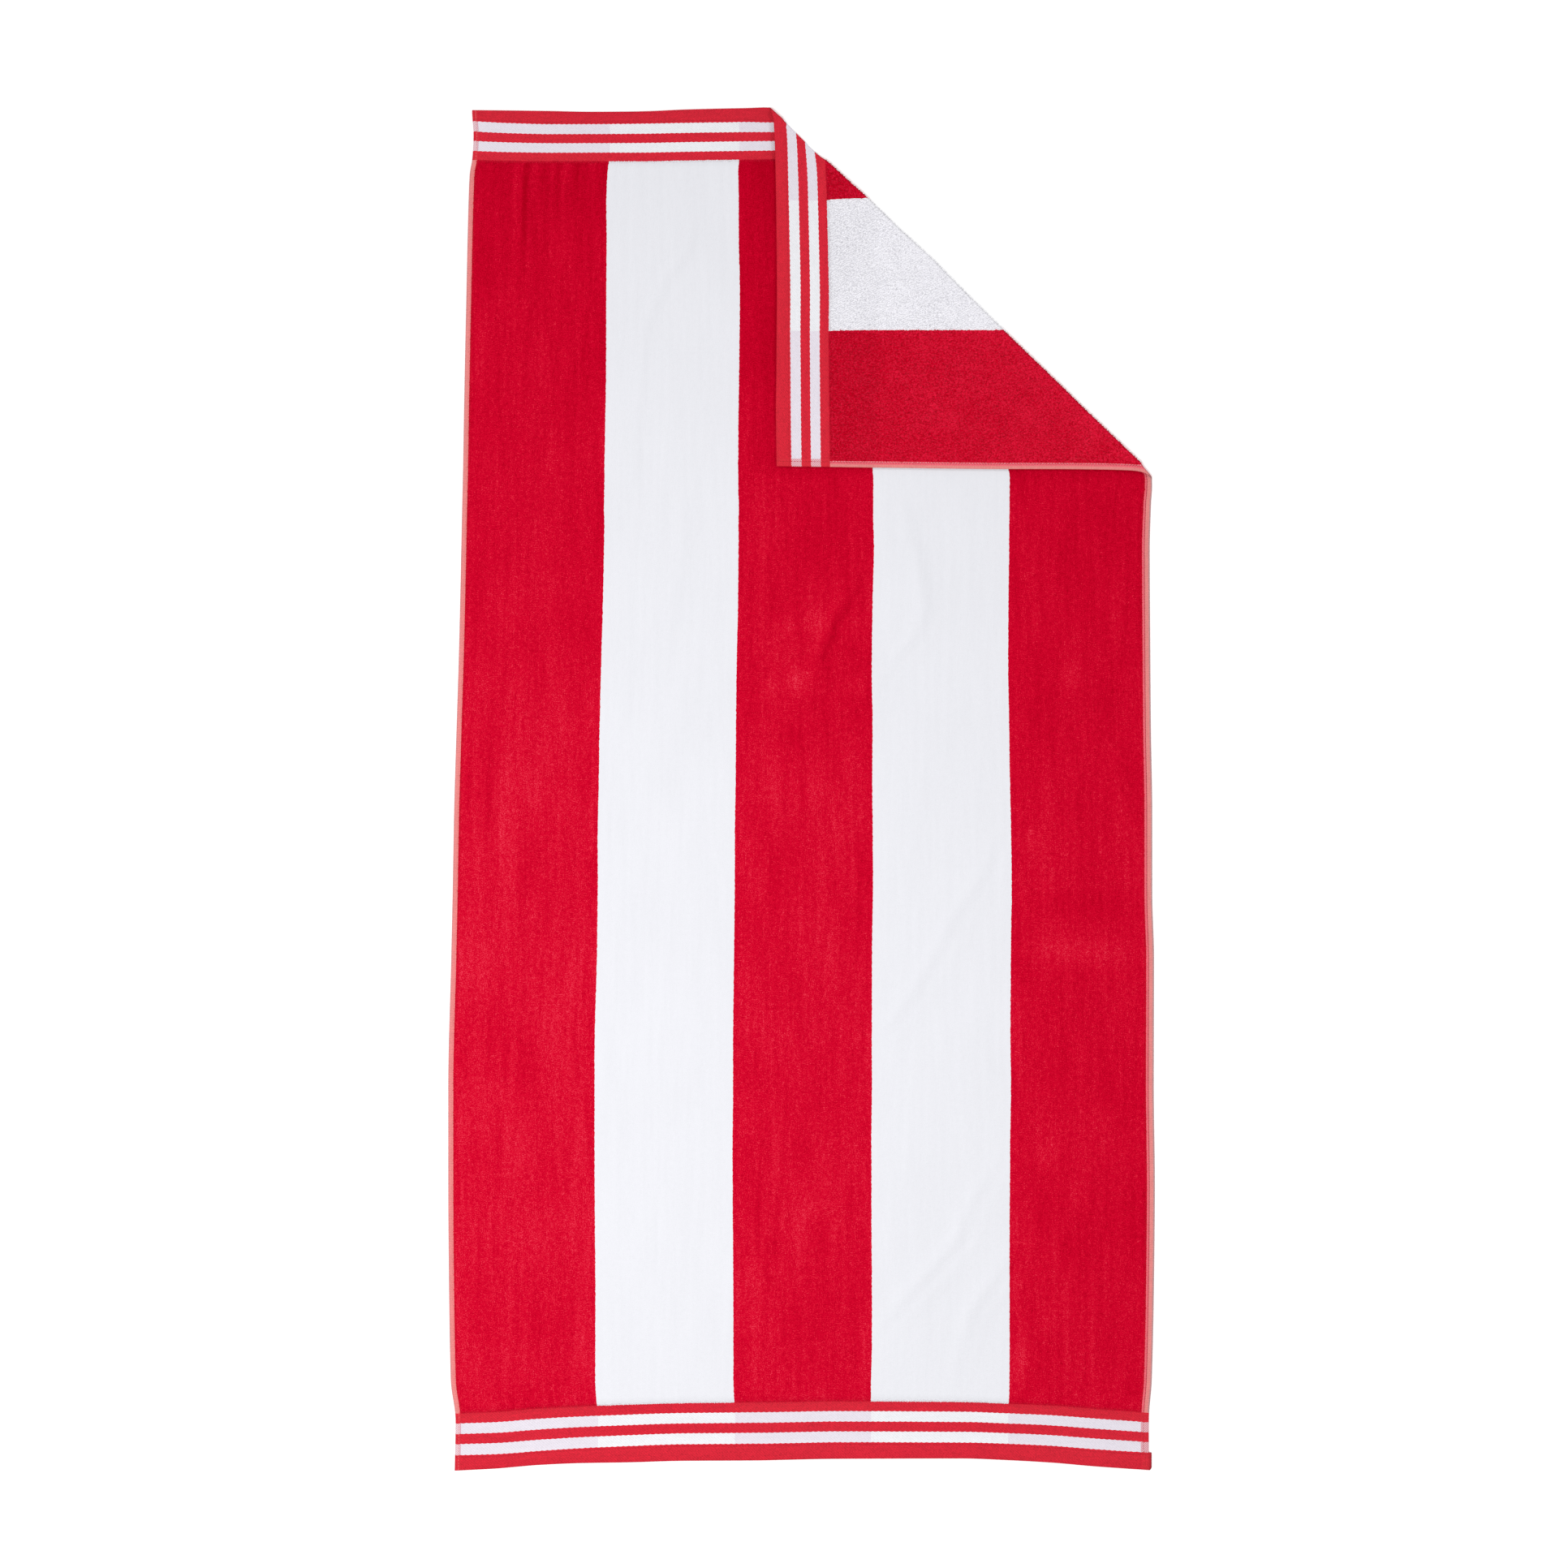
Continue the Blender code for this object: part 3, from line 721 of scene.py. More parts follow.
class Weaver:
    """Wires up one cloth material, node by node."""

    def __init__(self, name, roughness=0.95, specular=0.0, sheen=0.0):
        self.material = bpy.data.materials.new(name)
        self.material.use_nodes = True
        self.tree = self.material.node_tree
        self.shader = self.tree.nodes["Principled BSDF"]
        self.shader.inputs["Roughness"].default_value = roughness
        self.shader.inputs["Specular IOR Level"].default_value = specular
        self.shader.inputs["Sheen Weight"].default_value = sheen
        self.shader.inputs["Sheen Roughness"].default_value = 0.4

    def feed(self, socket, value):
        """Link a socket to another, or set its number or colour."""
        if isinstance(value, bpy.types.NodeSocket):
            self.tree.links.new(value, socket)
        elif hasattr(value, "__len__") and len(value) == 3 and socket.type == "RGBA":
            socket.default_value = (*value, 1.0)
        else:
            socket.default_value = value

    def node(self, kind, inputs, output=0, **settings):
        """A new node with its settings and inputs, given by index or name; returns an output."""
        node = self.tree.nodes.new(kind)
        for name, value in settings.items():
            setattr(node, name, value)
        for name, value in inputs.items():
            self.feed(node.inputs[name], value)
        return node.outputs[output]

    def attribute(self, name, output):
        """What the cloth's points carry under that name."""
        return self.node("ShaderNodeAttribute", {}, output, attribute_name=name)

    def math(self, operation, a, b=0.0, clamp=False):
        """One step of arithmetic, its result held between 0 and 1 if clamp is set."""
        return self.node("ShaderNodeMath", {0: a, 1: b}, operation=operation, use_clamp=clamp)

    def split(self, vector):
        """The x and y outputs of a vector."""
        x = self.node("ShaderNodeSeparateXYZ", {0: vector})
        return x, x.node.outputs[1]

    def stretch(self, vector, x, y):
        """The cloth's coordinates, stretched so that a pattern gets narrower or shorter."""
        return self.node("ShaderNodeVectorMath", {0: vector, 1: (x, y, 1.0)}, operation="MULTIPLY")

    def noise(self, vector, size, detail=2.0, rough=0.5):
        """Noise about zero whose spots are about as wide as size, in metres."""
        inputs = {"Vector": vector, "Scale": 1 / size, "Detail": detail, "Roughness": rough}
        return self.math("SUBTRACT", self.node("ShaderNodeTexNoise", inputs, "Fac"), 0.5)

    def total(self, start, *parts):
        """start plus each of the (value, weight) parts."""
        for value, weight in parts:
            product = self.math("MULTIPLY", value, weight)
            start = self.math("ADD", start, product)
        return start

    def between(self, value, low, high, to_low=0.0, to_high=1.0):
        """The value carried from one range to another, and held at its ends."""
        inputs = {"Value": value, "From Min": low, "From Max": high, "To Min": to_low, "To Max": to_high}
        return self.node("ShaderNodeMapRange", inputs, clamp=True)

    def mix(self, factor, a, b, blend="MIX"):
        """Colour a turned towards b."""
        inputs = {0: factor, 6: a, 7: b}
        return self.node("ShaderNodeMix", inputs, 2, data_type="RGBA", blend_type=blend)

    def blends(self, factor, places, colours):
        """A colour that runs smoothly through the colours, each at its place."""
        reach = places[-1]
        output = self.node("ShaderNodeValToRGB", {0: self.math("DIVIDE", factor, reach)})
        elements = output.node.color_ramp.elements
        elements[0].position, elements[0].color = places[0] / reach, (*colours[0], 1)
        elements[1].position, elements[1].color = 1.0, (*colours[-1], 1)
        for place, colour in zip(places[1:-1], colours[1:-1]):
            elements.new(place / reach).color = (*colour, 1)
        return output

    def lanes(self, value, lines):
        """0 before the first line, 1 up to the next one, 0 up to the one after, and so on."""
        lane = 0.0
        for i, line in enumerate(lines):
            passed = self.math("GREATER_THAN", value, line)
            lane = self.math("SUBTRACT" if i % 2 else "ADD", lane, passed)
        return lane

    def line(self, value, middle, half_width, blur):
        """1 along a line and 0 beside it, with a soft edge as wide as blur."""
        off = self.math("ABSOLUTE", self.math("SUBTRACT", value, middle))
        return self.between(off, half_width - blur / 2, half_width + blur / 2, 1.0, 0.0)

    def wave(self, value, period):
        """A sine wave along the value."""
        return self.math("SINE", self.math("MULTIPLY", value, 2 * math.pi / period))

    def finish(self, colour, height=None, distance=0.001, strength=0.5):
        """Wire the colour and the bump to the shader."""
        self.feed(self.shader.inputs["Base Color"], colour)
        if height is not None:
            inputs = {"Height": height, "Distance": distance, "Strength": strength}
            normal = self.node("ShaderNodeBump", inputs)
            self.feed(self.shader.inputs["Normal"], normal)
        return self.material


def stripe_mask(weaver, place, raggedness):
    """0 on the red stripes and 1 on the white ones, with a slightly ragged line between."""
    across, _ = weaver.split(place)
    wander = weaver.noise(place, 0.0028, 1.0)
    return weaver.lanes(weaver.total(across, (wander, raggedness)), STRIPE_LINES)


def dimmed(weaver, in_white, red, white):
    """Red and white together, darker where painted shade dims the cloth, the white half as much."""
    shade = weaver.attribute("shade", "Fac")
    dim_red = weaver.mix(1.0, red, shade, "MULTIPLY")
    dim_white = weaver.mix(1.0, white, weaver.total(0.5, (shade, 0.5)), "MULTIPLY")
    return weaver.mix(in_white, dim_red, dim_white)


def lengthwise(weaver, along, bottom, middle, top):
    """Painted light: a value that changes from the bottom end to the middle and on to the top end."""
    lower = weaver.between(along, 0.0, LENGTH * 0.5, bottom, middle)
    upper = weaver.between(along, LENGTH * 0.5, LENGTH, 0.0, top - middle)
    return weaver.math("ADD", lower, upper)


def pucker_tone(weaver, across, along):
    """Painted light on the crests and painted shade in the troughs of the puckers, added to the nap."""
    below = weaver.math("SUBTRACT", LENGTH - BORDER, along)
    tone = 0.0
    for middle, half_width, reach, opening in zip(*PUCKER_SHADING.values()):
        off = weaver.math("ABSOLUTE", weaver.math("SUBTRACT", across, middle))
        line = weaver.between(off, 0.0, half_width, opening, 0.0)
        fade = weaver.between(below, 0.3 * reach, reach, 1.0, 0.0)
        tone = weaver.total(tone, (line, fade))
    return tone


def velour(colours):
    """Sheared pile: streaked along the towel, mottled where the nap opens, and matt; painted light makes
    it lighter towards the bottom end and the left, and painted light and shade mark its folds and
    puckers.
    """
    weaver = Weaver("velour", roughness=0.95, sheen=0.03)
    place = weaver.attribute("place", "Vector")
    across, along = weaver.split(place)
    nap_and_painted_shade = weaver.attribute("nap", "Fac")
    streaks = weaver.noise(weaver.stretch(place, 1.0, 0.07), 0.007, 2.0)
    wales = weaver.noise(weaver.stretch(place, 1.0, 0.16), 0.0017, 2.0)
    clouds = weaver.noise(weaver.stretch(place, 1.0, 0.5), 0.055, 3.0)
    mottle = weaver.noise(weaver.stretch(place, 1.0, 0.85), 0.0042, 3.0, 0.6)
    grain = weaver.noise(place, 0.0011, 2.0, 0.6)
    flecks = weaver.between(weaver.noise(weaver.stretch(place, 1.0, 0.8), 0.0034, 1.0), 0.13, 0.26)
    speckle = weaver.math("MULTIPLY", flecks, weaver.total(0.22, (nap_and_painted_shade, 0.7)))
    # painted light and sheen: the red turns lighter towards the bottom end and, with sideways, towards
    # the left, where the light falls stronger
    base = lengthwise(weaver, along, 0.78, 0.76, 0.44)
    sideways = weaver.between(across, 0.0, WIDTH, 0.02, -0.15)
    nap = weaver.total(
        weaver.math("ADD", base, sideways),
        (nap_and_painted_shade, 1.0), (pucker_tone(weaver, across, along), 1.0), (speckle, 1.0),
        (streaks, 0.50), (wales, 0.42), (clouds, 0.42), (mottle, 0.80), (grain, 2.60),
    )
    red = weaver.blends(nap, (0.0, 0.5, 0.78, 1.0, 1.3), (
        colours.velour_shut, colours.velour_red, colours.velour_open,
        colours.velour_light, colours.velour_fleck,
    ))
    shade = weaver.total(1.0, (streaks, 0.05), (wales, 0.03), (mottle, 0.045), (clouds, 0.04))
    white = weaver.mix(1.0, colours.velour_white, shade, "MULTIPLY")
    colour = dimmed(weaver, stripe_mask(weaver, place, RAGGED), red, white)
    height = weaver.total(0.0, (wales, 0.35), (mottle, 0.6), (grain, 0.35), (streaks, 0.5))
    return weaver.finish(colour, height, distance=0.0012, strength=0.5)


def loop_ground(colours):
    """The cloth between the terry loops of the reverse."""
    weaver = Weaver("loop_ground", roughness=0.95, sheen=0.03)
    place = weaver.attribute("place", "Vector")
    nap_and_painted_shade = weaver.attribute("nap", "Fac")
    curls = weaver.noise(place, 0.0017, 2.0, 0.6)
    clouds = weaver.noise(place, 0.03, 2.0)
    tone = weaver.total(0.28, (nap_and_painted_shade, 1.0), (curls, 2.6), (clouds, 0.4))
    held = weaver.math("ADD", tone, 0.0, clamp=True)
    red = weaver.mix(held, colours.loop_deep, colours.loop_light)
    shade = weaver.total(0.97, (curls, 0.40), (clouds, 0.10))
    white = weaver.mix(1.0, colours.loop_white, shade, "MULTIPLY")
    colour = dimmed(weaver, stripe_mask(weaver, place, RAGGED), red, white)
    return weaver.finish(colour, curls, distance=0.0016, strength=0.8)


def pile_yarn(colours):
    """Yarn of the loops and edge tufts, each a little lighter or darker than the next."""
    weaver = Weaver("pile_yarn", roughness=0.9, sheen=0.03)
    place = weaver.attribute("place", "Vector")
    tint = weaver.attribute("tint", "Fac")
    clouds = weaver.noise(place, 0.03, 2.0)
    fibre = weaver.noise(weaver.node("ShaderNodeTexCoord", {}, "Object"), 0.0005, 1.0)
    tone = weaver.total(tint, (fibre, 0.3), (clouds, 0.3))
    held = weaver.math("ADD", tone, 0.0, clamp=True)
    red = weaver.mix(held, colours.loop_deep, colours.loop_light)
    shade = weaver.between(tone, 0.0, 1.0, 0.93, 1.05)
    white = weaver.mix(1.0, colours.loop_white, shade, "MULTIPLY")
    colour = dimmed(weaver, stripe_mask(weaver, place, 0.0), red, white)
    return weaver.finish(colour, fibre, distance=0.0003, strength=0.4)


def scalloped(weaver, place, across, along):
    """Distance in from the nearer end, wavering as the small scallops of the bands do."""
    from_end = weaver.math("MINIMUM", along, weaver.math("SUBTRACT", LENGTH, along))
    wander = weaver.noise(place, 0.012, 2.0)
    shifted = weaver.total(across, (wander, 0.002))
    at_bottom = weaver.math("LESS_THAN", along, LENGTH / 2)
    wave = weaver.node("ShaderNodeMix", {
        0: at_bottom,
        2: weaver.wave(shifted, 2 * SCALLOP_BOTTOM),
        3: weaver.wave(shifted, 2 * SCALLOP_TOP),
    })
    scallop = weaver.math("ABSOLUTE", wave)
    inset = weaver.total(-0.0008, (at_bottom, 0.0003))
    return weaver.total(inset, (from_end, 1.0), (scallop, SCALLOP_DEPTH), (wander, 0.0004))


def hem_over_bands(weaver, colours, across, along, red, white):
    """The bands' red and white, changed where the side hems cross them."""
    from_right = weaver.math("SUBTRACT", WIDTH, across)
    in_left = weaver.math("LESS_THAN", across, LEFT_HEM + 0.0006)
    in_right = weaver.math("LESS_THAN", from_right, RIGHT_HEM + 0.0004)
    in_hem = weaver.math("MAXIMUM", in_left, in_right)
    pale_tick = weaver.mix(in_left, colours.tick_pale, colours.left_tick_pale)
    red_tick = weaver.mix(in_left, colours.tick_red, colours.left_tick_red)
    ticks = weaver.wave(weaver.total(across, (along, -TICK_ACROSS / TICK_ALONG)), TICK_ACROSS)
    ticked = weaver.mix(weaver.between(ticks, -0.5, 0.9), pale_tick, red_tick)
    seam = weaver.line(across, LEFT_HEM, 0.0004, 0.0005)
    seamed = weaver.mix(weaver.math("MULTIPLY", seam, 0.5), ticked, colours.seam_mauve)
    hem_red = weaver.mix(weaver.math("MULTIPLY", in_hem, 0.15), red, colours.hem_over_red)
    return hem_red, weaver.mix(in_hem, white, seamed)


def border_weave(colours):
    """Flat twill of the end borders: straight bands with small scallops along their edges."""
    weaver = Weaver("border_weave", roughness=0.75, specular=0.12, sheen=0.03)
    place = weaver.attribute("place", "Vector")
    across, along = weaver.split(place)
    band = weaver.lanes(scalloped(weaver, place, across, along), BAND_LINES)

    twill = weaver.wave(weaver.total(across, (along, TWILL_ACROSS / TWILL_ALONG)), TWILL_ACROSS)
    yarns = weaver.noise(place, 0.0012, 2.0, 0.65)
    slubs = weaver.noise(weaver.stretch(place, 0.15, 1.0), 0.0022, 2.0)
    tone = weaver.total(1.0, (twill, 0.06), (yarns, 1.10), (slubs, 0.25))
    red = weaver.mix(1.0, colours.border_red, tone, "MULTIPLY")
    over_white = stripe_mask(weaver, place, 0.0)
    pale = weaver.mix(over_white, colours.border_tinged, colours.border_white)
    faint = weaver.total(1.0, (twill, 0.03), (yarns, 0.30), (slubs, 0.10))
    white = weaver.mix(1.0, pale, faint, "MULTIPLY")
    red, white = hem_over_bands(weaver, colours, across, along, red, white)
    colour = dimmed(weaver, band, red, white)
    height = weaver.total(0.0, (twill, 0.35), (yarns, 0.5), (slubs, 0.2))
    return weaver.finish(colour, height, distance=0.0006, strength=0.5)


def face_hem(weaver, colours, from_edge, on_right):
    """The hems on the face: painted shade greys the outer turn, and along the right one a dark seam."""
    turn = weaver.between(from_edge, 0.0011, 0.0021, 1.0, 0.0)
    left_turn = weaver.between(from_edge, 0.0002, 0.0010, 0.6, 0.0)
    edge = weaver.node("ShaderNodeMix", {0: on_right, 2: left_turn, 3: turn})
    seam = weaver.line(from_edge, RIGHT_SEAM + 0.0002, 0.0005, 0.0005)
    dark = weaver.math("MULTIPLY", weaver.math("MULTIPLY", seam, on_right), 0.75)
    inner = weaver.math("GREATER_THAN", from_edge, RIGHT_SEAM)
    pink = weaver.mix(inner, colours.hem_salmon, colours.hem_pink)
    return weaver.mix(edge, weaver.mix(dark, pink, colours.seam_dark), colours.hem_grey)


def reverse_hem(weaver, colours, from_edge, along):
    """The hems on the reverse: salmon outside, pink inside, with a row of ticks between."""
    pink = weaver.mix(
        weaver.between(from_edge, 0.0026, 0.0038), colours.hem_salmon, colours.hem_pink
    )
    dots = weaver.between(weaver.wave(along, REVERSE_TICK), -0.2, 0.4)
    ticks = weaver.math("MULTIPLY", weaver.line(from_edge, TICK_LINE, 0.0005, 0.0004), dots)
    ticked = weaver.mix(weaver.math("MULTIPLY", ticks, 0.7), pink, colours.reverse_tick)
    knots = weaver.math("MULTIPLY", weaver.line(from_edge, KNOT_LINE, 0.0005, 0.0004), dots)
    return weaver.mix(weaver.math("MULTIPLY", knots, 0.6), ticked, colours.reverse_knot)


def side_hem(colours):
    """Turned and stitched side edge: salmon and pink, with fine ribs across it."""
    weaver = Weaver("side_hem", roughness=0.8, specular=0.1, sheen=0.03)
    place = weaver.attribute("place", "Vector")
    across, along = weaver.split(place)
    from_right = weaver.math("SUBTRACT", WIDTH, across)
    ribs = weaver.wave(along, HEM_RIB)
    yarns = weaver.noise(place, 0.0012, 2.0, 0.6)
    slubs = weaver.noise(weaver.stretch(place, 1.0, 0.2), 0.0030, 2.0)
    nearest = weaver.math("MINIMUM", across, from_right)
    from_edge = weaver.total(nearest, (yarns, 0.0010))
    on_right = weaver.math("LESS_THAN", from_right, WIDTH / 2)
    on_face = weaver.math("GREATER_THAN", across.node.outputs[2], 0.0)
    face = face_hem(weaver, colours, from_edge, on_right)
    base = weaver.mix(on_face, reverse_hem(weaver, colours, from_edge, along), face)
    tone = weaver.total(1.0, (ribs, 0.08), (yarns, 0.45), (slubs, 0.20))
    toned = weaver.mix(1.0, base, tone, "MULTIPLY")
    colour = weaver.mix(1.0, toned, weaver.attribute("shade", "Fac"), "MULTIPLY")
    height = weaver.total(0.0, (ribs, 0.5), (yarns, 0.5))
    return weaver.finish(colour, height, distance=0.0006, strength=0.6)


def thread_finish(name, colour_of):
    """Twisted cotton thread, in the colour that colour_of makes."""
    weaver = Weaver(name, roughness=0.7, specular=0.2, sheen=0.02)
    twist = weaver.noise(weaver.node("ShaderNodeTexCoord", {}, "Object"), 0.0004, 1.0)
    tone = weaver.total(0.85, (weaver.attribute("tint", "Fac"), 0.3), (twist, 0.5))
    colour = weaver.mix(1.0, colour_of(weaver), tone, "MULTIPLY")
    return weaver.finish(colour, twist, distance=0.0002, strength=0.6)


def sewing_thread(colours):
    """Red thread."""
    return thread_finish("sewing_thread", lambda weaver: colours.thread_red)


def hem_thread(colours):
    """Thread of the side hems."""

    def by_side(weaver):
        """Pink on the left hem and red on the right one."""
        across, _ = weaver.split(weaver.attribute("place", "Vector"))
        on_right = weaver.math("GREATER_THAN", across, WIDTH / 2)
        return weaver.mix(on_right, colours.thread_pink, colours.thread_red)

    return thread_finish("hem_thread", by_side)


def finish_of(make):
    """The material of that name, made the first time that it is asked for."""
    made = bpy.data.materials.get(make.__name__)
    return made or make(bpy.context.scene.towel_colours)


# ---------------------------------------------------------------- meshes


def stations(fixed, widest):
    """Places through all the fixed ones, no two further apart than widest."""
    fixed = sorted(set(fixed))
    places = [fixed[0]]
    for low, high in zip(fixed, fixed[1:]):
        parts = math.ceil((high - low) / widest - 1e-6)
        places += [low + (high - low) * (i + 1) / parts for i in range(parts)]
    return places


def edge_stations(hem, seam):
    """Places in from an edge of the cloth: its round rim, its seam and the pile's step up."""
    rim = [0, 0.08 * RIM, 0.35 * RIM, RIM]
    groove = [seam - SEAM_GROOVE_HALF, seam, seam + SEAM_GROOVE_HALF]
    return rim + groove + [hem, hem + PILE_STEP / 2, hem + PILE_STEP]


def column_stations(cell):
    """Where the grid's columns run: rims, seams, hems and stripe edges."""
    left = edge_stations(LEFT_HEM, LEFT_SEAM)
    right = [WIDTH - x for x in edge_stations(RIGHT_HEM, RIGHT_SEAM)]
    return stations([*left, *STRIPE_LINES, *right], cell)


def row_stations(cell):
    """Where the grid's rows run: rims, seams, hems and border bands."""
    rim = edge_stations(BORDER, END_SEAM)
    end = [*rim, END_HEM - HEM_STEP, END_HEM, END_HEM + HEM_STEP, *BAND_LINES[1:]]
    return stations([*end, *[LENGTH - y for y in end]], cell)


def cut_near_crease(sheet, point, direction, reach):
    """Cut the faces near the crease along one straight line."""
    faces = [f for f in sheet.faces if abs(f.calc_center_median().x) < reach]
    edges = {e for f in faces for e in f.edges}
    corners = {v for f in faces for v in f.verts}
    bmesh.ops.bisect_plane(
        sheet, geom=[*corners, *edges, *faces], dist=CUT_SNAP, plane_co=point, plane_no=direction
    )


def flat_sheet(sizes):
    """The cloth as one layer of quads, cut along lines parallel to the crease for its bend.

    Each point keeps its place in the cloth in two layers. It is drawn by its distances past and
    along the crease, so that the cuts are straight.
    """
    sheet = bmesh.new()
    across_layer = sheet.verts.layers.float.new("across")
    along_layer = sheet.verts.layers.float.new("along")
    columns, rows = column_stations(sizes.cell), row_stations(sizes.cell)
    across, along = (grid.ravel() for grid in np.meshgrid(columns, rows))
    run, past, _, _ = crease_frame(across, along)
    corners = []
    for a, b, x, y in zip(across, along, past, run):
        corner = sheet.verts.new((x, y, 0))
        corner[across_layer], corner[along_layer] = a, b
        corners.append(corner)
    width = len(columns)
    for row in range(len(rows) - 1):
        for i in range(row * width, row * width + width - 1):
            sheet.faces.new([corners[j] for j in (i, i + 1, i + width + 1, i + width)])
    radius = CREASE["radius"].max()
    cuts = [radius * (2 * i / sizes.bend_steps - 1) for i in range(sizes.bend_steps + 1)]
    for cut in cuts:
        cut_near_crease(sheet, (cut, 0, 0), (1, 0, 0), NEAR_CREASE)
    for cut in CREASE["run"][1:-1]:
        cut_near_crease(sheet, (0, cut, 0), (0, 1, 0), radius)
    return sheet, across_layer, along_layer


def beside_flap(across, along):
    """Painted shadow of the turned corner: 1 under it, fading to 0 out from its left edge and from its
    lower edge.
    """
    run, past, _, _ = crease_frame(across, along)
    x = CREASE_START[0] + run * CREASE_COS + past * CREASE_SIN
    y = CREASE_START[1] + run * CREASE_SIN - past * CREASE_COS
    from_left = y - smooth_curve(x + WIDTH / 2, ENDS["across"], ENDS["top"])
    from_low = x - smooth_curve(y, SIDES["height"], SIDES["right"])
    near = (1 - ramp(from_left, 0, FLAP_SHADE_LEFT)) * (1 - ramp(from_low, 0, FLAP_SHADE_LOW))
    return np.where(past < 0, near**1.5, 0)


def fold_tone(across, along):
    """Painted shade in the troughs and the faint folds, and painted light on the left of each; 1 for the
    deepest.
    """
    tone = np.zeros(len(across))
    for path in [*TROUGHS.values(), *PAINTED_FOLDS.values()]:
        light = path_bump(across + LIT_SIDE, along, path, 1.1)
        tone += 0.5 * light - path_bump(across, along, path, 0.85)
    return tone / DEEPEST


def nap_opening(across, along):
    """How much lighter the pile lies than it mostly does, and darker below 0: its nap patches, with
    painted light and shade in the folds, painted shadow beside the turned corner, darker below the top
    border and lighter just past the crease.
    """
    tone = FOLD_NAP_SHADE * fold_tone(across, along) - FLAP_NAP_SHADOW * beside_flap(across, along)
    tone -= BORDER_NAP * (1 - ramp(LENGTH - BORDER - along, *BORDER_NAP_REACH))
    for middle, height, half_width, half_length, opening in zip(*NAP_PATCHES.values()):
        off = np.hypot((across - middle) / half_width, (along - height) / half_length)
        tone += opening * bump(off)
    _, past, _, radius = crease_frame(across, along)
    return tone + BEND_NAP * ramp(past, 0, radius) * (1 - ramp(past, *BEND_NAP_REACH))


def dimming(across, along):
    """What the colour is multiplied by: 1, or less where shade is painted in folds, at the bend and by
    the corner, and a little more where light is painted beside the folds.
    """
    run, past, _, radius = crease_frame(across, along)
    turn = ramp(past, -radius, radius)
    lying_x = CREASE_START[0] + run * CREASE_COS + past * CREASE_SIN
    over_red = (past > radius) * (1 - ramp(lying_x, OVER_RED, OVER_RED + OVER_RED_BLUR))
    over_red = over_red * (along < LENGTH - BORDER)
    ear = ramp(across, WIDTH - EAR_SHADE_REACH, WIDTH) * (along < END_HEM)
    top_hem = (along > LENGTH - END_HEM) & (past < 0)
    shade = BEND_SHADE * bump((turn - BEND_SHADE_AT) / BEND_SHADE_HALF)
    shade += OVER_RED_SHADE * over_red + EAR_SHADE * ear
    shade += BORDER_SHADE * (along < BORDER) + TOP_HEM_SHADE * top_hem
    shade += FLAP_SHADE * beside_flap(across, along)
    return 1 - shade + FOLD_SHADE * fold_tone(across, along)


def stripe_places(across, along, side):
    """Where each point lies in the stripes, across and along, and on which side."""
    knots = [0, *STRIPE_LINES, WIDTH]
    even = across.copy()
    for i, line in enumerate(list(DRIFT.values())[1:]):
        before, middle, after = knots[i : i + 3]
        share = ramp(across, before, middle) * ramp(-across, -after, -middle)
        even -= share * smooth_curve(along, DRIFT["along"], line)
    return np.stack([even, along, np.broadcast_to(side, len(across))], 1)


def cloth_maps(places, side, rim_side):
    """Where each corner lies in the cloth's flat map: the face on the left, the reverse right."""
    margin, half = 0.012, 0.5
    u = margin + (half - 2 * margin) * places[:, 0] / WIDTH
    v = margin + (1 - 2 * margin) * places[:, 1] / LENGTH
    middle_u, middle_v = half / 2, 0.5
    out_u = np.sign(u - middle_u) * (np.abs(u - middle_u) > half / 2 - margin - 1e-4)
    out_v = np.sign(v - middle_v) * (np.abs(v - middle_v) > 0.5 - margin - 1e-4)
    u = u + np.where(rim_side, out_u * margin / 3, 0) + np.where(side < 0, half, 0)
    return np.stack([u, v + np.where(rim_side, out_v * margin / 3, 0)], 1)


def cloth_mesh(sizes):
    """Both skins of the folded cloth, closed along the rim."""
    sheet, across_layer, along_layer = flat_sheet(sizes)
    across = np.array([v[across_layer] for v in sheet.verts])
    along = np.array([v[along_layer] for v in sheet.verts])
    sheet.verts.index_update()
    count = len(sheet.verts)
    cells = [[v.index for v in f.verts] for f in sheet.faces]
    rim = [(e.link_loops[0].vert.index, e.other_vert(e.link_loops[0].vert).index)
           for e in sheet.edges if e.is_boundary]
    sheet.free()

    uneven = sizes.nap_ripple * in_pile(across, along)
    nap = uneven * ripple(across, along, 0.009, 0.045, 3.5)
    loops = uneven * ripple(across, along, 0.014, 0.014, 8.5)
    reverse = skin(across, along, REVERSE, np.minimum(loops, 0))
    face = skin(across, along, FACE, nap)

    polygons = [[i + count for i in cell] for cell in cells]
    polygons += [cell[::-1] for cell in cells]
    polygons += [(a, b, b + count, a + count) for a, b in rim]
    mesh = bpy.data.meshes.new("towel_cloth")
    mesh.from_pydata(np.vstack([reverse, face]).tolist(), [], polygons)
    sides = np.repeat([FACE, REVERSE, FACE], [len(cells), len(cells), len(rim)])
    dress_cloth(mesh, across, along, polygons, sides, 2 * len(cells))
    return mesh


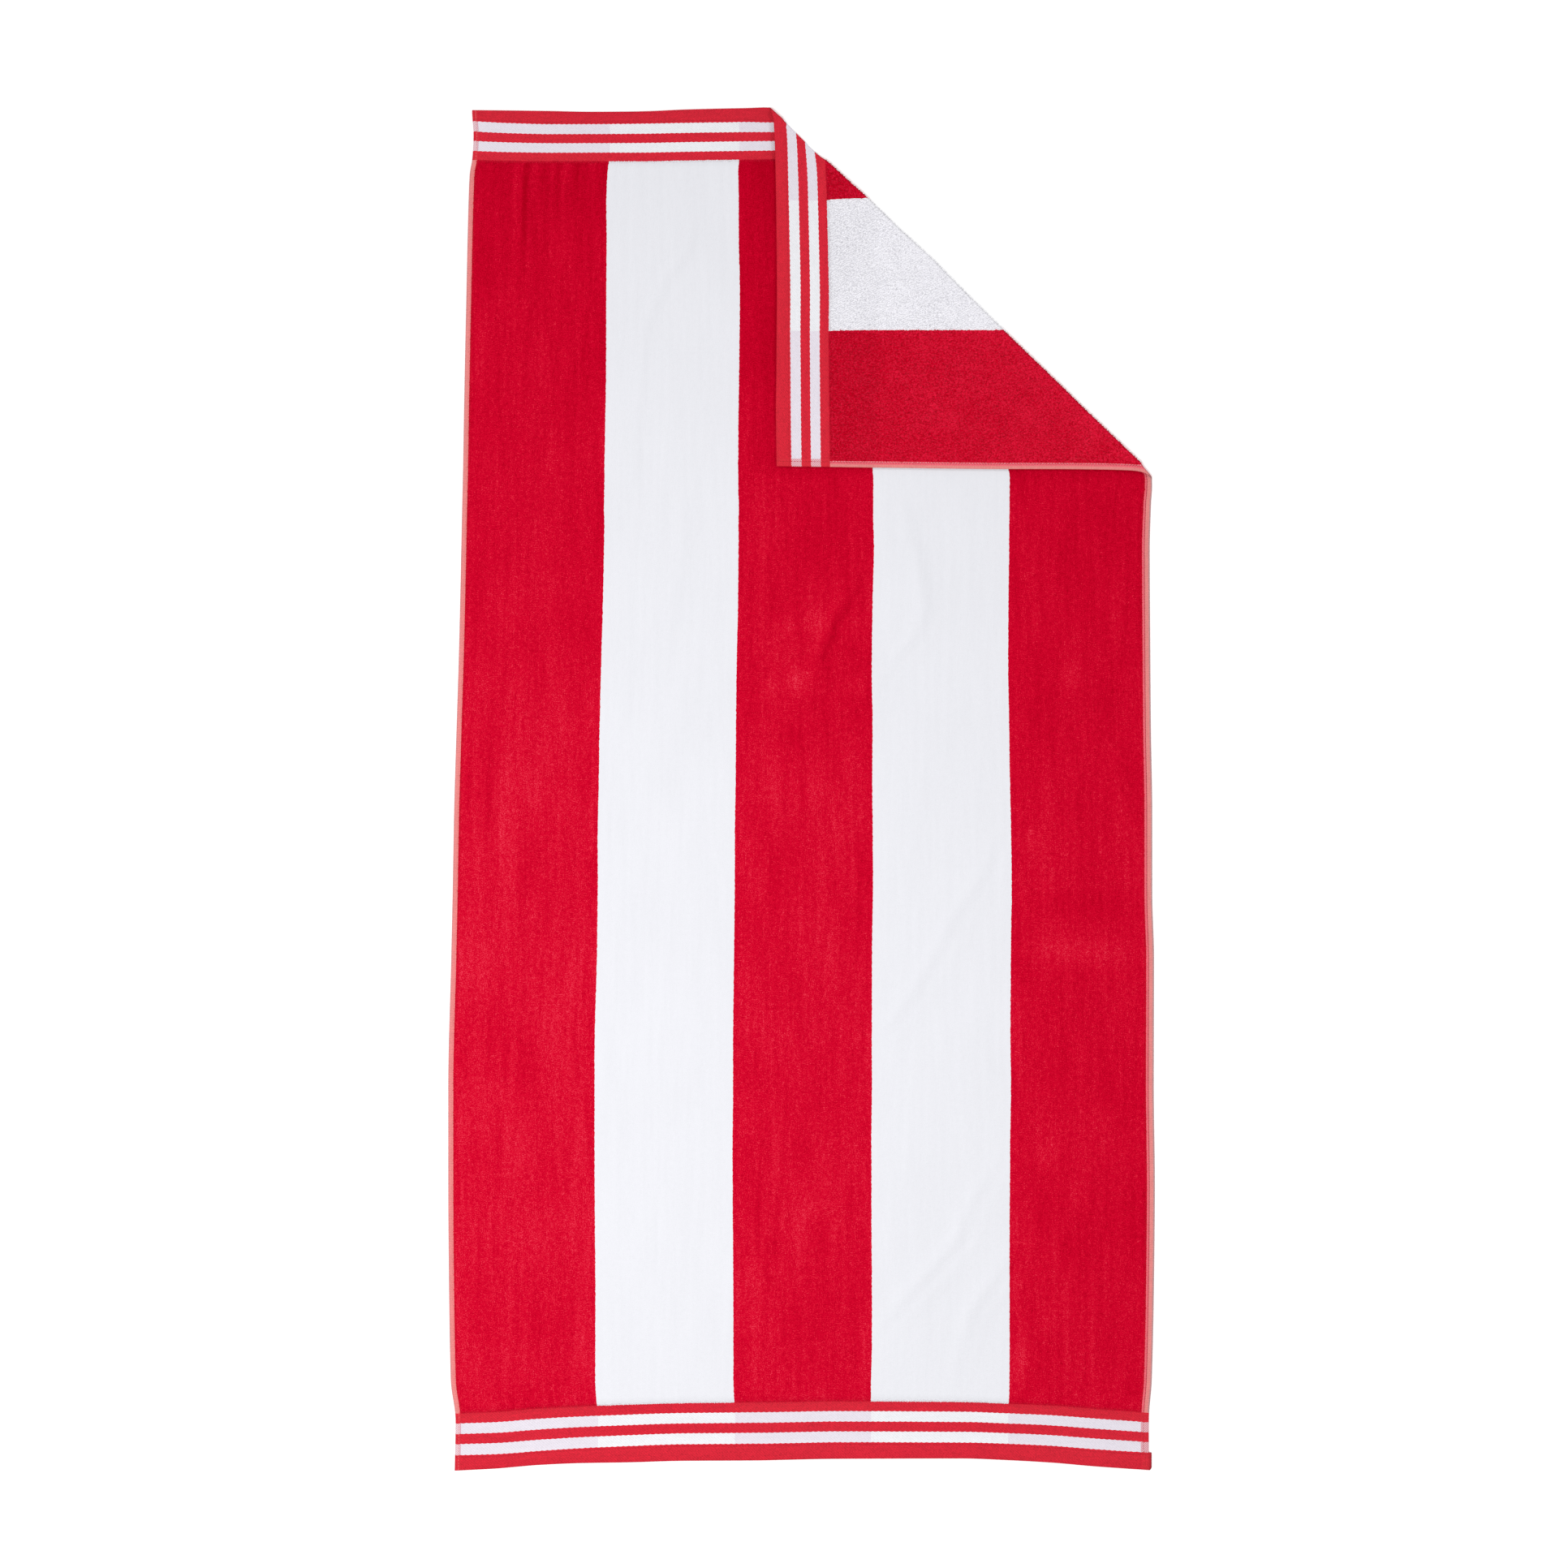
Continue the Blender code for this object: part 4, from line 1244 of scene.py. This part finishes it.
def dress_cloth(mesh, across, along, polygons, polygon_sides, first_of_rim):
    """Give the cloth's points their places and tones, and its faces their map and finishes."""
    sides = np.repeat([REVERSE, FACE], len(across))
    places = np.tile(np.stack([across, along], 1), (2, 1))
    give_attribute(mesh, "place", "FLOAT_VECTOR", stripe_places(places[:, 0], places[:, 1], sides))
    give_attribute(mesh, "nap", "FLOAT", np.tile(nap_opening(across, along), 2))
    give_attribute(mesh, "shade", "FLOAT", np.tile(dimming(across, along), 2))

    corners = np.concatenate([np.array(p) for p in polygons])
    is_rim = np.repeat(np.arange(len(polygons)) >= first_of_rim, [len(p) for p in polygons])
    rim_side = is_rim & (sides[corners] < 0)
    map_side = np.where(is_rim, FACE, sides[corners])
    give_map(mesh, cloth_maps(places[corners], map_side, rim_side))

    middles = np.array([places[list(p)].mean(0) for p in polygons])
    slots = cloth_slots(middles[:, 0], middles[:, 1], polygon_sides)
    mesh.polygons.foreach_set("material_index", slots)


def cloth_slots(across, along, side):
    """Which finish covers each face of the cloth."""
    from_end = np.minimum(along, LENGTH - along)
    right_hem = np.where(side > 0, RIGHT_HEM, REVERSE_HEM)
    hem = (across < LEFT_HEM) | (across > WIDTH - right_hem)
    slots = np.where(side > 0, VELOUR_SLOT, LOOP_SLOT)
    slots = np.where(hem, HEM_SLOT, slots)
    return np.where(from_end < BORDER, BORDER_SLOT, slots).astype(np.int32)


def give_attribute(mesh, name, kind, values):
    """Store one value or vector for each point."""
    attribute = mesh.attributes.new(name, kind, "POINT")
    key = "vector" if kind == "FLOAT_VECTOR" else "value"
    attribute.data.foreach_set(key, np.ascontiguousarray(values, np.float32).ravel())


def give_map(mesh, corners):
    """Store the flat map that the colours can be read through."""
    layer = mesh.uv_layers.new(name="OFBake")
    layer.uv.foreach_set("vector", np.ascontiguousarray(corners, np.float32).ravel())


def around(centre, sideways, upward, radius, sides, start=0.0):
    """Points in a ring around each of the centres, one array for each step of the turn."""
    angles = [start + 2 * math.pi * k / sides for k in range(sides)]
    return [centre + (sideways * math.cos(a) + upward * math.sin(a)) * radius for a in angles]


def tube_form(rings, sides):
    """Faces and map of a closed tube whose points are counted ring by ring."""
    faces, maps = [], []
    for ring in range(rings - 1):
        for k in range(sides):
            a, b = ring * sides + k, ring * sides + (k + 1) % sides
            faces.append((a, b, b + sides, a + sides))
            u0, u1 = ring / rings, (ring + 1) / rings
            v0, v1 = k / sides, (k + 1) / sides
            maps.append([(u0, v0), (u0, v1), (u1, v1), (u1, v0)])
    middle = 1 - 0.5 / rings
    turns = [2 * math.pi * k / sides for k in range(sides)]
    for ring, base in ((0, 0.0), (rings - 1, 0.5)):
        cap = [ring * sides + k for k in range(sides)]
        disc = [(middle + 0.4 / rings * math.cos(t), base + 0.25 + 0.2 * math.sin(t)) for t in turns]
        faces.append(tuple(cap[::-1] if ring == 0 else cap))
        maps.append(disc[::-1] if ring == 0 else disc)
    return faces, maps


def copies(name, forms, faces, maps, across, along, side, tints):
    """One mesh of many small copies: forms holds the points of each, in metres."""
    count, size = forms.shape[:2]
    places = stripe_places(across, along, side)
    shades = dimming(across, along)
    polygons = [[i * size + corner for corner in face] for i in range(count) for face in faces]
    mesh = bpy.data.meshes.new(name)
    mesh.from_pydata(forms.reshape(-1, 3).tolist(), [], polygons)
    give_attribute(mesh, "place", "FLOAT_VECTOR", np.repeat(places, size, 0))
    give_attribute(mesh, "tint", "FLOAT", np.repeat(tints, size))
    give_attribute(mesh, "shade", "FLOAT", np.repeat(shades, size))
    cells_across = math.ceil(math.sqrt(count))
    cell = 1 / cells_across
    corner_map = np.array([point for face in maps for point in face])
    columns, rows = np.arange(count) % cells_across, np.arange(count) // cells_across
    origins = np.stack([columns, rows], 1) * cell
    give_map(mesh, (origins[:, None] + cell * (0.06 + 0.88 * corner_map[None])).reshape(-1, 2))
    return mesh


def surface_frame(across, along, side, lift=0.0):
    """Points on a skin with the directions across, along and out of the cloth there."""
    step = 0.0004
    origin = skin(across, along, side, lift)
    ahead = skin(across, np.minimum(along + step, LENGTH), side, lift)
    behind = skin(across, np.maximum(along - step, 0), side, lift)
    right = skin(np.minimum(across + step, WIDTH), along, side, lift)
    left = skin(np.maximum(across - step, 0), along, side, lift)
    lengthways, crossways = unit(ahead - behind), unit(right - left)
    out = unit(np.cross(crossways, lengthways)) * np.reshape(side, (-1, 1))
    return origin, crossways, lengthways, out


def unit(vectors):
    """The vectors at length 1."""
    return vectors / np.linalg.norm(vectors, axis=1, keepdims=True)


def add_piece(mesh, *materials):
    """A shown piece that rides with the towel, in the finishes that it is given."""
    for material in materials:
        mesh.materials.append(material)
    mesh.shade_smooth()
    piece = bpy.data.objects.new(mesh.name, mesh)
    bpy.context.scene.collection.objects.link(piece)
    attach(piece, "root")
    return piece


# ---------------------------------------------------------------- sewing, tufts, loops


def stitches(name, across, along, side, heading, sizes, rng):
    """Stitches that lie on a skin: each a rounded bit of thread along its heading."""
    origin, crossways, lengthways, out = surface_frame(across, along, side, STITCH_LIFT)
    turn = heading + rng.normal(0, STITCH_TURN, len(across))
    forward = crossways * np.cos(turn)[:, None] + lengthways * np.sin(turn)[:, None]
    sideways = np.cross(out, forward)
    rings, sides = 5, 6
    forms = []
    for ring in range(rings):
        f = ring / (rings - 1)
        swell = math.sqrt(max(1 - (2 * f - 1) ** 2, 0.04))
        centre = origin + forward * ((f - 0.5) * sizes.stitch_length)
        radius = swell * sizes.stitch_width / 2
        forms += around(centre, sideways, out * STITCH_FLATNESS, radius, sides)
    faces, maps = tube_form(rings, sides)
    tints = rng.uniform(0, 1, len(across))
    return copies(name, np.stack(forms, 1), faces, maps, across, along, side, tints)


def strand(name, centres, out, width, across, along):
    """One round thread through the centres."""
    forward = unit(np.gradient(centres, axis=0))
    sideways = unit(np.cross(out, forward))
    upward = np.cross(forward, sideways)
    sides = 6
    form = np.stack(around(centres, sideways, upward, width / 2, sides), 1).reshape(1, -1, 3)
    faces, maps = tube_form(len(centres), sides)
    middle = len(centres) // 2
    across, along = across[middle : middle + 1], along[middle : middle + 1]
    return copies(name, form, faces, maps, across, along, REVERSE, np.full(1, THREAD_TINT))


def terry_loops(name, across, along, sizes, rng):
    """Loops of yarn standing on the reverse skin, each turned and leaning its own way."""
    count = len(across)
    origin, crossways, lengthways, out = surface_frame(across, along, REVERSE, -LOOP_ROOT)
    turn = rng.normal(math.pi / 2, LOOP_TURN, count)[:, None]
    forward = crossways * np.cos(turn) + lengthways * np.sin(turn)
    sideways = np.cross(out, forward)
    height = sizes.loop_height * rng.uniform(0.8, 1.25, count)[:, None]
    span = sizes.loop_span * rng.uniform(0.85, 1.15, count)[:, None]
    lean = rng.normal(0, LOOP_LEAN, count)[:, None]
    rings, sides = 4, 3
    forms = []
    for ring in range(rings):
        angle = math.pi * ring / (rings - 1)
        rise = (out + sideways * lean) * (math.sin(angle) * height)
        centre = origin - forward * (math.cos(angle) * span / 2) + rise
        outward = -forward * math.cos(angle) + out * math.sin(angle)
        forms += around(centre, sideways, outward, sizes.yarn_width / 2, sides, math.pi / 2)
    faces, maps = tube_form(rings, sides)
    # each loop's tint takes the nap's patches and its painted light and shade as well
    tints = np.clip(rng.normal(0.33, 0.36, count) + nap_opening(across, along), 0, 1)
    return copies(name, np.stack(forms, 1), faces, maps, across, along, REVERSE, tints)


def tufts(name, across, along, lean_across, lean_along, side, sizes, rng):
    """Short tufts along the pile's edges, leaning out over the flat weave."""
    count = len(across)
    origin, crossways, lengthways, out = surface_frame(across, along, side, -TUFT_ROOT)
    lean = crossways * lean_across[:, None] + lengthways * lean_along[:, None]
    wander = rng.normal(0, 0.35, (count, 2))
    lean = lean + crossways * wander[:, :1] + lengthways * wander[:, 1:]
    tip = unit(lean + out * rng.uniform(0.9, 1.6, count)[:, None])
    sideways = unit(np.cross(tip, out + 0.01 * crossways))
    third = np.cross(tip, sideways)
    length = sizes.tuft_length * rng.uniform(0.7, 1.3, count)[:, None]
    rings, sides = 3, 3
    widths = (0.42, 0.50, 0.12)
    forms = []
    for ring, width in zip(range(rings), widths):
        f = ring / (rings - 1)
        centre = origin + tip * (f * length) + out * (f * (1 - f) * 0.0004)
        forms += around(centre, sideways, third, width * sizes.yarn_width, sides)
    faces, maps = tube_form(rings, sides)
    tints = np.clip(rng.normal(0.40, 0.2, count), 0, 1)
    return copies(name, np.stack(forms, 1), faces, maps, across, along, side, tints)


# ---------------------------------------------------------------- operators


def studio_sky(strength):
    """Even white light from all around."""
    world = bpy.data.worlds.new("studio")
    world.use_nodes = True
    sky = world.node_tree.nodes["Background"]
    sky.inputs["Color"].default_value = (1, 1, 1, 1)
    sky.inputs["Strength"].default_value = strength
    return world


def paper_floor(size, glow):
    """A square of white paper, a little below the towel."""
    half = size / 2
    corners = [(-half, -half), (half, -half), (half, half), (-half, half)]
    mesh = bpy.data.meshes.new("floor")
    mesh.from_pydata([(x, y, -FLOOR_DROP) for x, y in corners], [], [(0, 1, 2, 3)])
    weaver = Weaver("floor_paper", roughness=0.9)
    weaver.shader.inputs["Emission Color"].default_value = (1, 1, 1, 1)
    weaver.shader.inputs["Emission Strength"].default_value = glow
    grain = weaver.noise(weaver.node("ShaderNodeTexCoord", {}, "Object"), 0.02)
    paper = weaver.mix(grain, (0.95, 0.95, 0.95), (0.93, 0.93, 0.93))
    mesh.materials.append(weaver.finish(paper))
    return bpy.data.objects.new("floor", mesh)


def soft_lamp(name, place, aim, size, watts):
    """A round soft light at its place, turned to its aim."""
    light = bpy.data.lights.new(name, "AREA")
    light.shape, light.size, light.energy = "DISK", size, watts
    lamp = bpy.data.objects.new(name, light)
    lamp.location = place
    lamp.rotation_euler = (Vector(aim) - Vector(place)).to_track_quat("-Z", "Y").to_euler()
    return lamp


def camera_above(lens, frame_width):
    """A camera straight above, as high as its lens has to be to see that width of floor."""
    view = bpy.data.cameras.new("view")
    view.lens = lens
    camera = bpy.data.objects.new("view", view)
    camera.location = (*FRAME_MIDDLE, frame_width * lens / view.sensor_width)
    return camera


class TOWEL_OT_stage(bpy.types.Operator):
    """Lay the pale floor, hang the soft lights and set the camera straight above"""

    bl_idname = "towel.stage"
    bl_label = "Stage"

    def execute(self, context):
        scene, stage = context.scene, context.scene.towel_stage
        scene.view_settings.view_transform = "Standard"
        scene.world = studio_sky(stage.sky)
        floor = paper_floor(stage.floor_size, stage.floor_glow)
        lamps = [soft_lamp(*light) for light in LIGHTS]
        camera = camera_above(stage.lens, stage.frame_width)
        for piece in (floor, *lamps, camera):
            scene.collection.objects.link(piece)
        scene.camera = camera
        return {"FINISHED"}


class TOWEL_OT_cloth(bpy.types.Operator):
    """Weave the striped cloth and fold its corner"""

    bl_idname = "towel.cloth"
    bl_label = "Cloth"

    def execute(self, context):
        mesh = cloth_mesh(context.scene.towel_sizes)
        finishes = [finish_of(make) for make in (velour, loop_ground, border_weave, side_hem)]
        cloth = add_piece(mesh, *finishes)
        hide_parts("towel")
        return {"FINISHED"}


def seams(lines, length, pitch):
    """Where the stitches of straight seams lie: the line that each is on, and how far along it."""
    count = int(length / pitch)
    run = (np.arange(count) + 0.5) * length / count
    return np.repeat(lines, count), np.tile(run, len(lines))


class TOWEL_OT_stitches(bpy.types.Operator):
    """Sew the side hems and the end hems"""

    bl_idname = "towel.stitches"
    bl_label = "Stitches"

    def execute(self, context):
        sizes = context.scene.towel_sizes
        rng = np.random.default_rng(11)
        across, along = seams((LEFT_SEAM, WIDTH - RIGHT_SEAM), LENGTH, sizes.stitch_pitch)
        for name, side in (("side_hem_stitches", FACE), ("side_hem_stitches_reverse", REVERSE)):
            mesh = stitches(name, across, along, side, math.pi / 2, sizes, rng)
            add_piece(mesh, finish_of(hem_thread))
        along, across = seams((END_SEAM, LENGTH - END_SEAM), WIDTH, sizes.stitch_pitch)
        for name, side in (("end_hem_stitches", FACE), ("end_hem_stitches_reverse", REVERSE)):
            mesh = stitches(name, across, along, side, 0.0, sizes, rng)
            add_piece(mesh, finish_of(sewing_thread))
        return {"FINISHED"}


class TOWEL_OT_pile_edges(bpy.types.Operator):
    """Raise the tufts along the edges of the pile, on the reverse where the corner is turned"""

    bl_idname = "towel.pile_edges"
    bl_label = "Pile edges"

    def execute(self, context):
        sizes = context.scene.towel_sizes
        rng = np.random.default_rng(23)
        rows = edge_rows(RIGHT_HEM, sizes, rng)
        mesh = tufts("pile_edges_face", *rows, FACE, sizes, rng)
        add_piece(mesh, finish_of(pile_yarn))
        rows = edge_rows(REVERSE_HEM, sizes, rng)
        _, past, _, radius = crease_frame(*rows[:2])
        mesh = tufts("pile_edges_reverse", *(row[past > radius] for row in rows), REVERSE, sizes, rng)
        add_piece(mesh, finish_of(pile_yarn))
        return {"FINISHED"}


def edge_rows(right_hem, sizes, rng):
    """Places of the edge tufts in three rows, and the way that each leans, across and along."""
    rows = []
    left, right = LEFT_HEM, WIDTH - right_hem
    for inset in TUFT_INSETS:
        for line, lean in ((BORDER, -1), (LENGTH - BORDER, 1)):
            run = np.linspace(left, right, int((right - left) / sizes.tuft_spacing))
            fixed = np.full_like(run, line - lean * inset)
            rows.append((run, fixed, 0 * run, 0 * run + lean))
        for line, lean in ((left, -1), (right, 1)):
            run = np.linspace(BORDER, LENGTH - BORDER, int((LENGTH - 2 * BORDER) / sizes.tuft_spacing))
            fixed = np.full_like(run, line - lean * inset)
            rows.append((fixed, run, 0 * run + lean, 0 * run))
    across, along, lean_across, lean_along = (np.concatenate(part) for part in zip(*rows))
    scatter = rng.normal(0, TUFT_SCATTER, (2, len(across)))
    return across + scatter[0], along + scatter[1], lean_across, lean_along


class TOWEL_OT_flap_loops(bpy.types.Operator):
    """Raise the terry loops on the turned corner"""

    bl_idname = "towel.flap_loops"
    bl_label = "Flap loops"

    def execute(self, context):
        sizes = context.scene.towel_sizes
        rng = np.random.default_rng(37)
        across, along = loop_places(sizes, rng)
        stripe = np.searchsorted(STRIPE_LINES, stripe_places(across, along, REVERSE)[:, 0]) % 2
        for name, kind in (("flap_loops_red", 0), ("flap_loops_white", 1)):
            mesh = terry_loops(name, across[stripe == kind], along[stripe == kind], sizes, rng)
            add_piece(mesh, finish_of(pile_yarn))
        return {"FINISHED"}


def loop_places(sizes, rng):
    """Places of the loops on the turned corner, in rows a pitch apart, every other row shifted."""
    pitch = sizes.loop_pitch
    columns = np.arange(LEFT_HEM + PILE_STEP / 2, WIDTH - REVERSE_HEM, pitch)
    rows = np.arange(BORDER + PILE_STEP / 2, LENGTH - BORDER, pitch * 0.9)
    across, along = (grid.ravel() for grid in np.meshgrid(columns, rows))
    across = across + (np.round(along / (pitch * 0.9)) % 2) * pitch / 2
    across = across + rng.normal(0, 0.14 * pitch, len(across))
    along = along + rng.normal(0, 0.14 * pitch, len(along))
    _, past, _, radius = crease_frame(across, along)
    keep = (past > -0.2 * radius) & (across < WIDTH - REVERSE_HEM - LOOP_MARGIN)
    keep = keep & (along < LENGTH - BORDER - LOOP_MARGIN)
    return across[keep], along[keep]


class TOWEL_OT_loose_thread(bpy.types.Operator):
    """Lay the loose bit of thread on the turned corner"""

    bl_idname = "towel.loose_thread"
    bl_label = "Loose thread"

    def execute(self, context):
        sizes = context.scene.towel_sizes
        at = np.arange(len(LOOSE_THREAD["across"]), dtype=float)
        steps = np.linspace(0, at[-1], 31)
        across = smooth_curve(steps, at, LOOSE_THREAD["across"])
        along = smooth_curve(steps, at, LOOSE_THREAD["along"])
        arch = np.sin(steps / at[-1] * math.pi)
        origin, _, _, out = surface_frame(across, along, REVERSE, sizes.loop_height)
        origin = origin + out * (THREAD_LIFT + THREAD_ARCH * arch)[:, None]
        mesh = strand("loose_thread", origin, out, sizes.stitch_width * 0.9, across, along)
        add_piece(mesh, finish_of(sewing_thread))
        return {"FINISHED"}


class TOWEL_PT_panel(bpy.types.Panel):
    """Lists the towel's pieces in the sidebar"""

    bl_label = "Striped towel"
    bl_space_type = "VIEW_3D"
    bl_region_type = "UI"
    bl_category = "Towel"

    def draw(self, context):
        layout = self.layout
        for kind in OPERATORS:
            layout.operator(kind.bl_idname)
        for name, _ in GROUPS:
            group = getattr(context.scene, name)
            box = layout.box()
            for prop in group.__annotations__:
                box.prop(group, prop)


OPERATORS = (
    TOWEL_OT_stage,
    TOWEL_OT_cloth,
    TOWEL_OT_stitches,
    TOWEL_OT_pile_edges,
    TOWEL_OT_flap_loops,
    TOWEL_OT_loose_thread,
)
GROUPS = (
    ("towel_sizes", TowelSizes),
    ("towel_colours", TowelColours),
    ("towel_stage", TowelStage),
)


def register():
    """Make the sizes, colours, operators and panel known to Blender."""
    for name, group in GROUPS:
        bpy.utils.register_class(group)
        setattr(bpy.types.Scene, name, PointerProperty(type=group))
    for kind in (*OPERATORS, TOWEL_PT_panel):
        bpy.utils.register_class(kind)


def unregister():
    """Take them away again, last first."""
    for kind in (TOWEL_PT_panel, *reversed(OPERATORS)):
        bpy.utils.unregister_class(kind)
    for name, group in reversed(GROUPS):
        delattr(bpy.types.Scene, name)
        bpy.utils.unregister_class(group)


def main():
    """Build every piece."""
    register()
    bpy.ops.towel.stage()
    bpy.ops.towel.cloth()
    bpy.ops.towel.stitches()
    bpy.ops.towel.pile_edges()
    bpy.ops.towel.flap_loops()
    bpy.ops.towel.loose_thread()


if __name__ == "__main__":
    main()
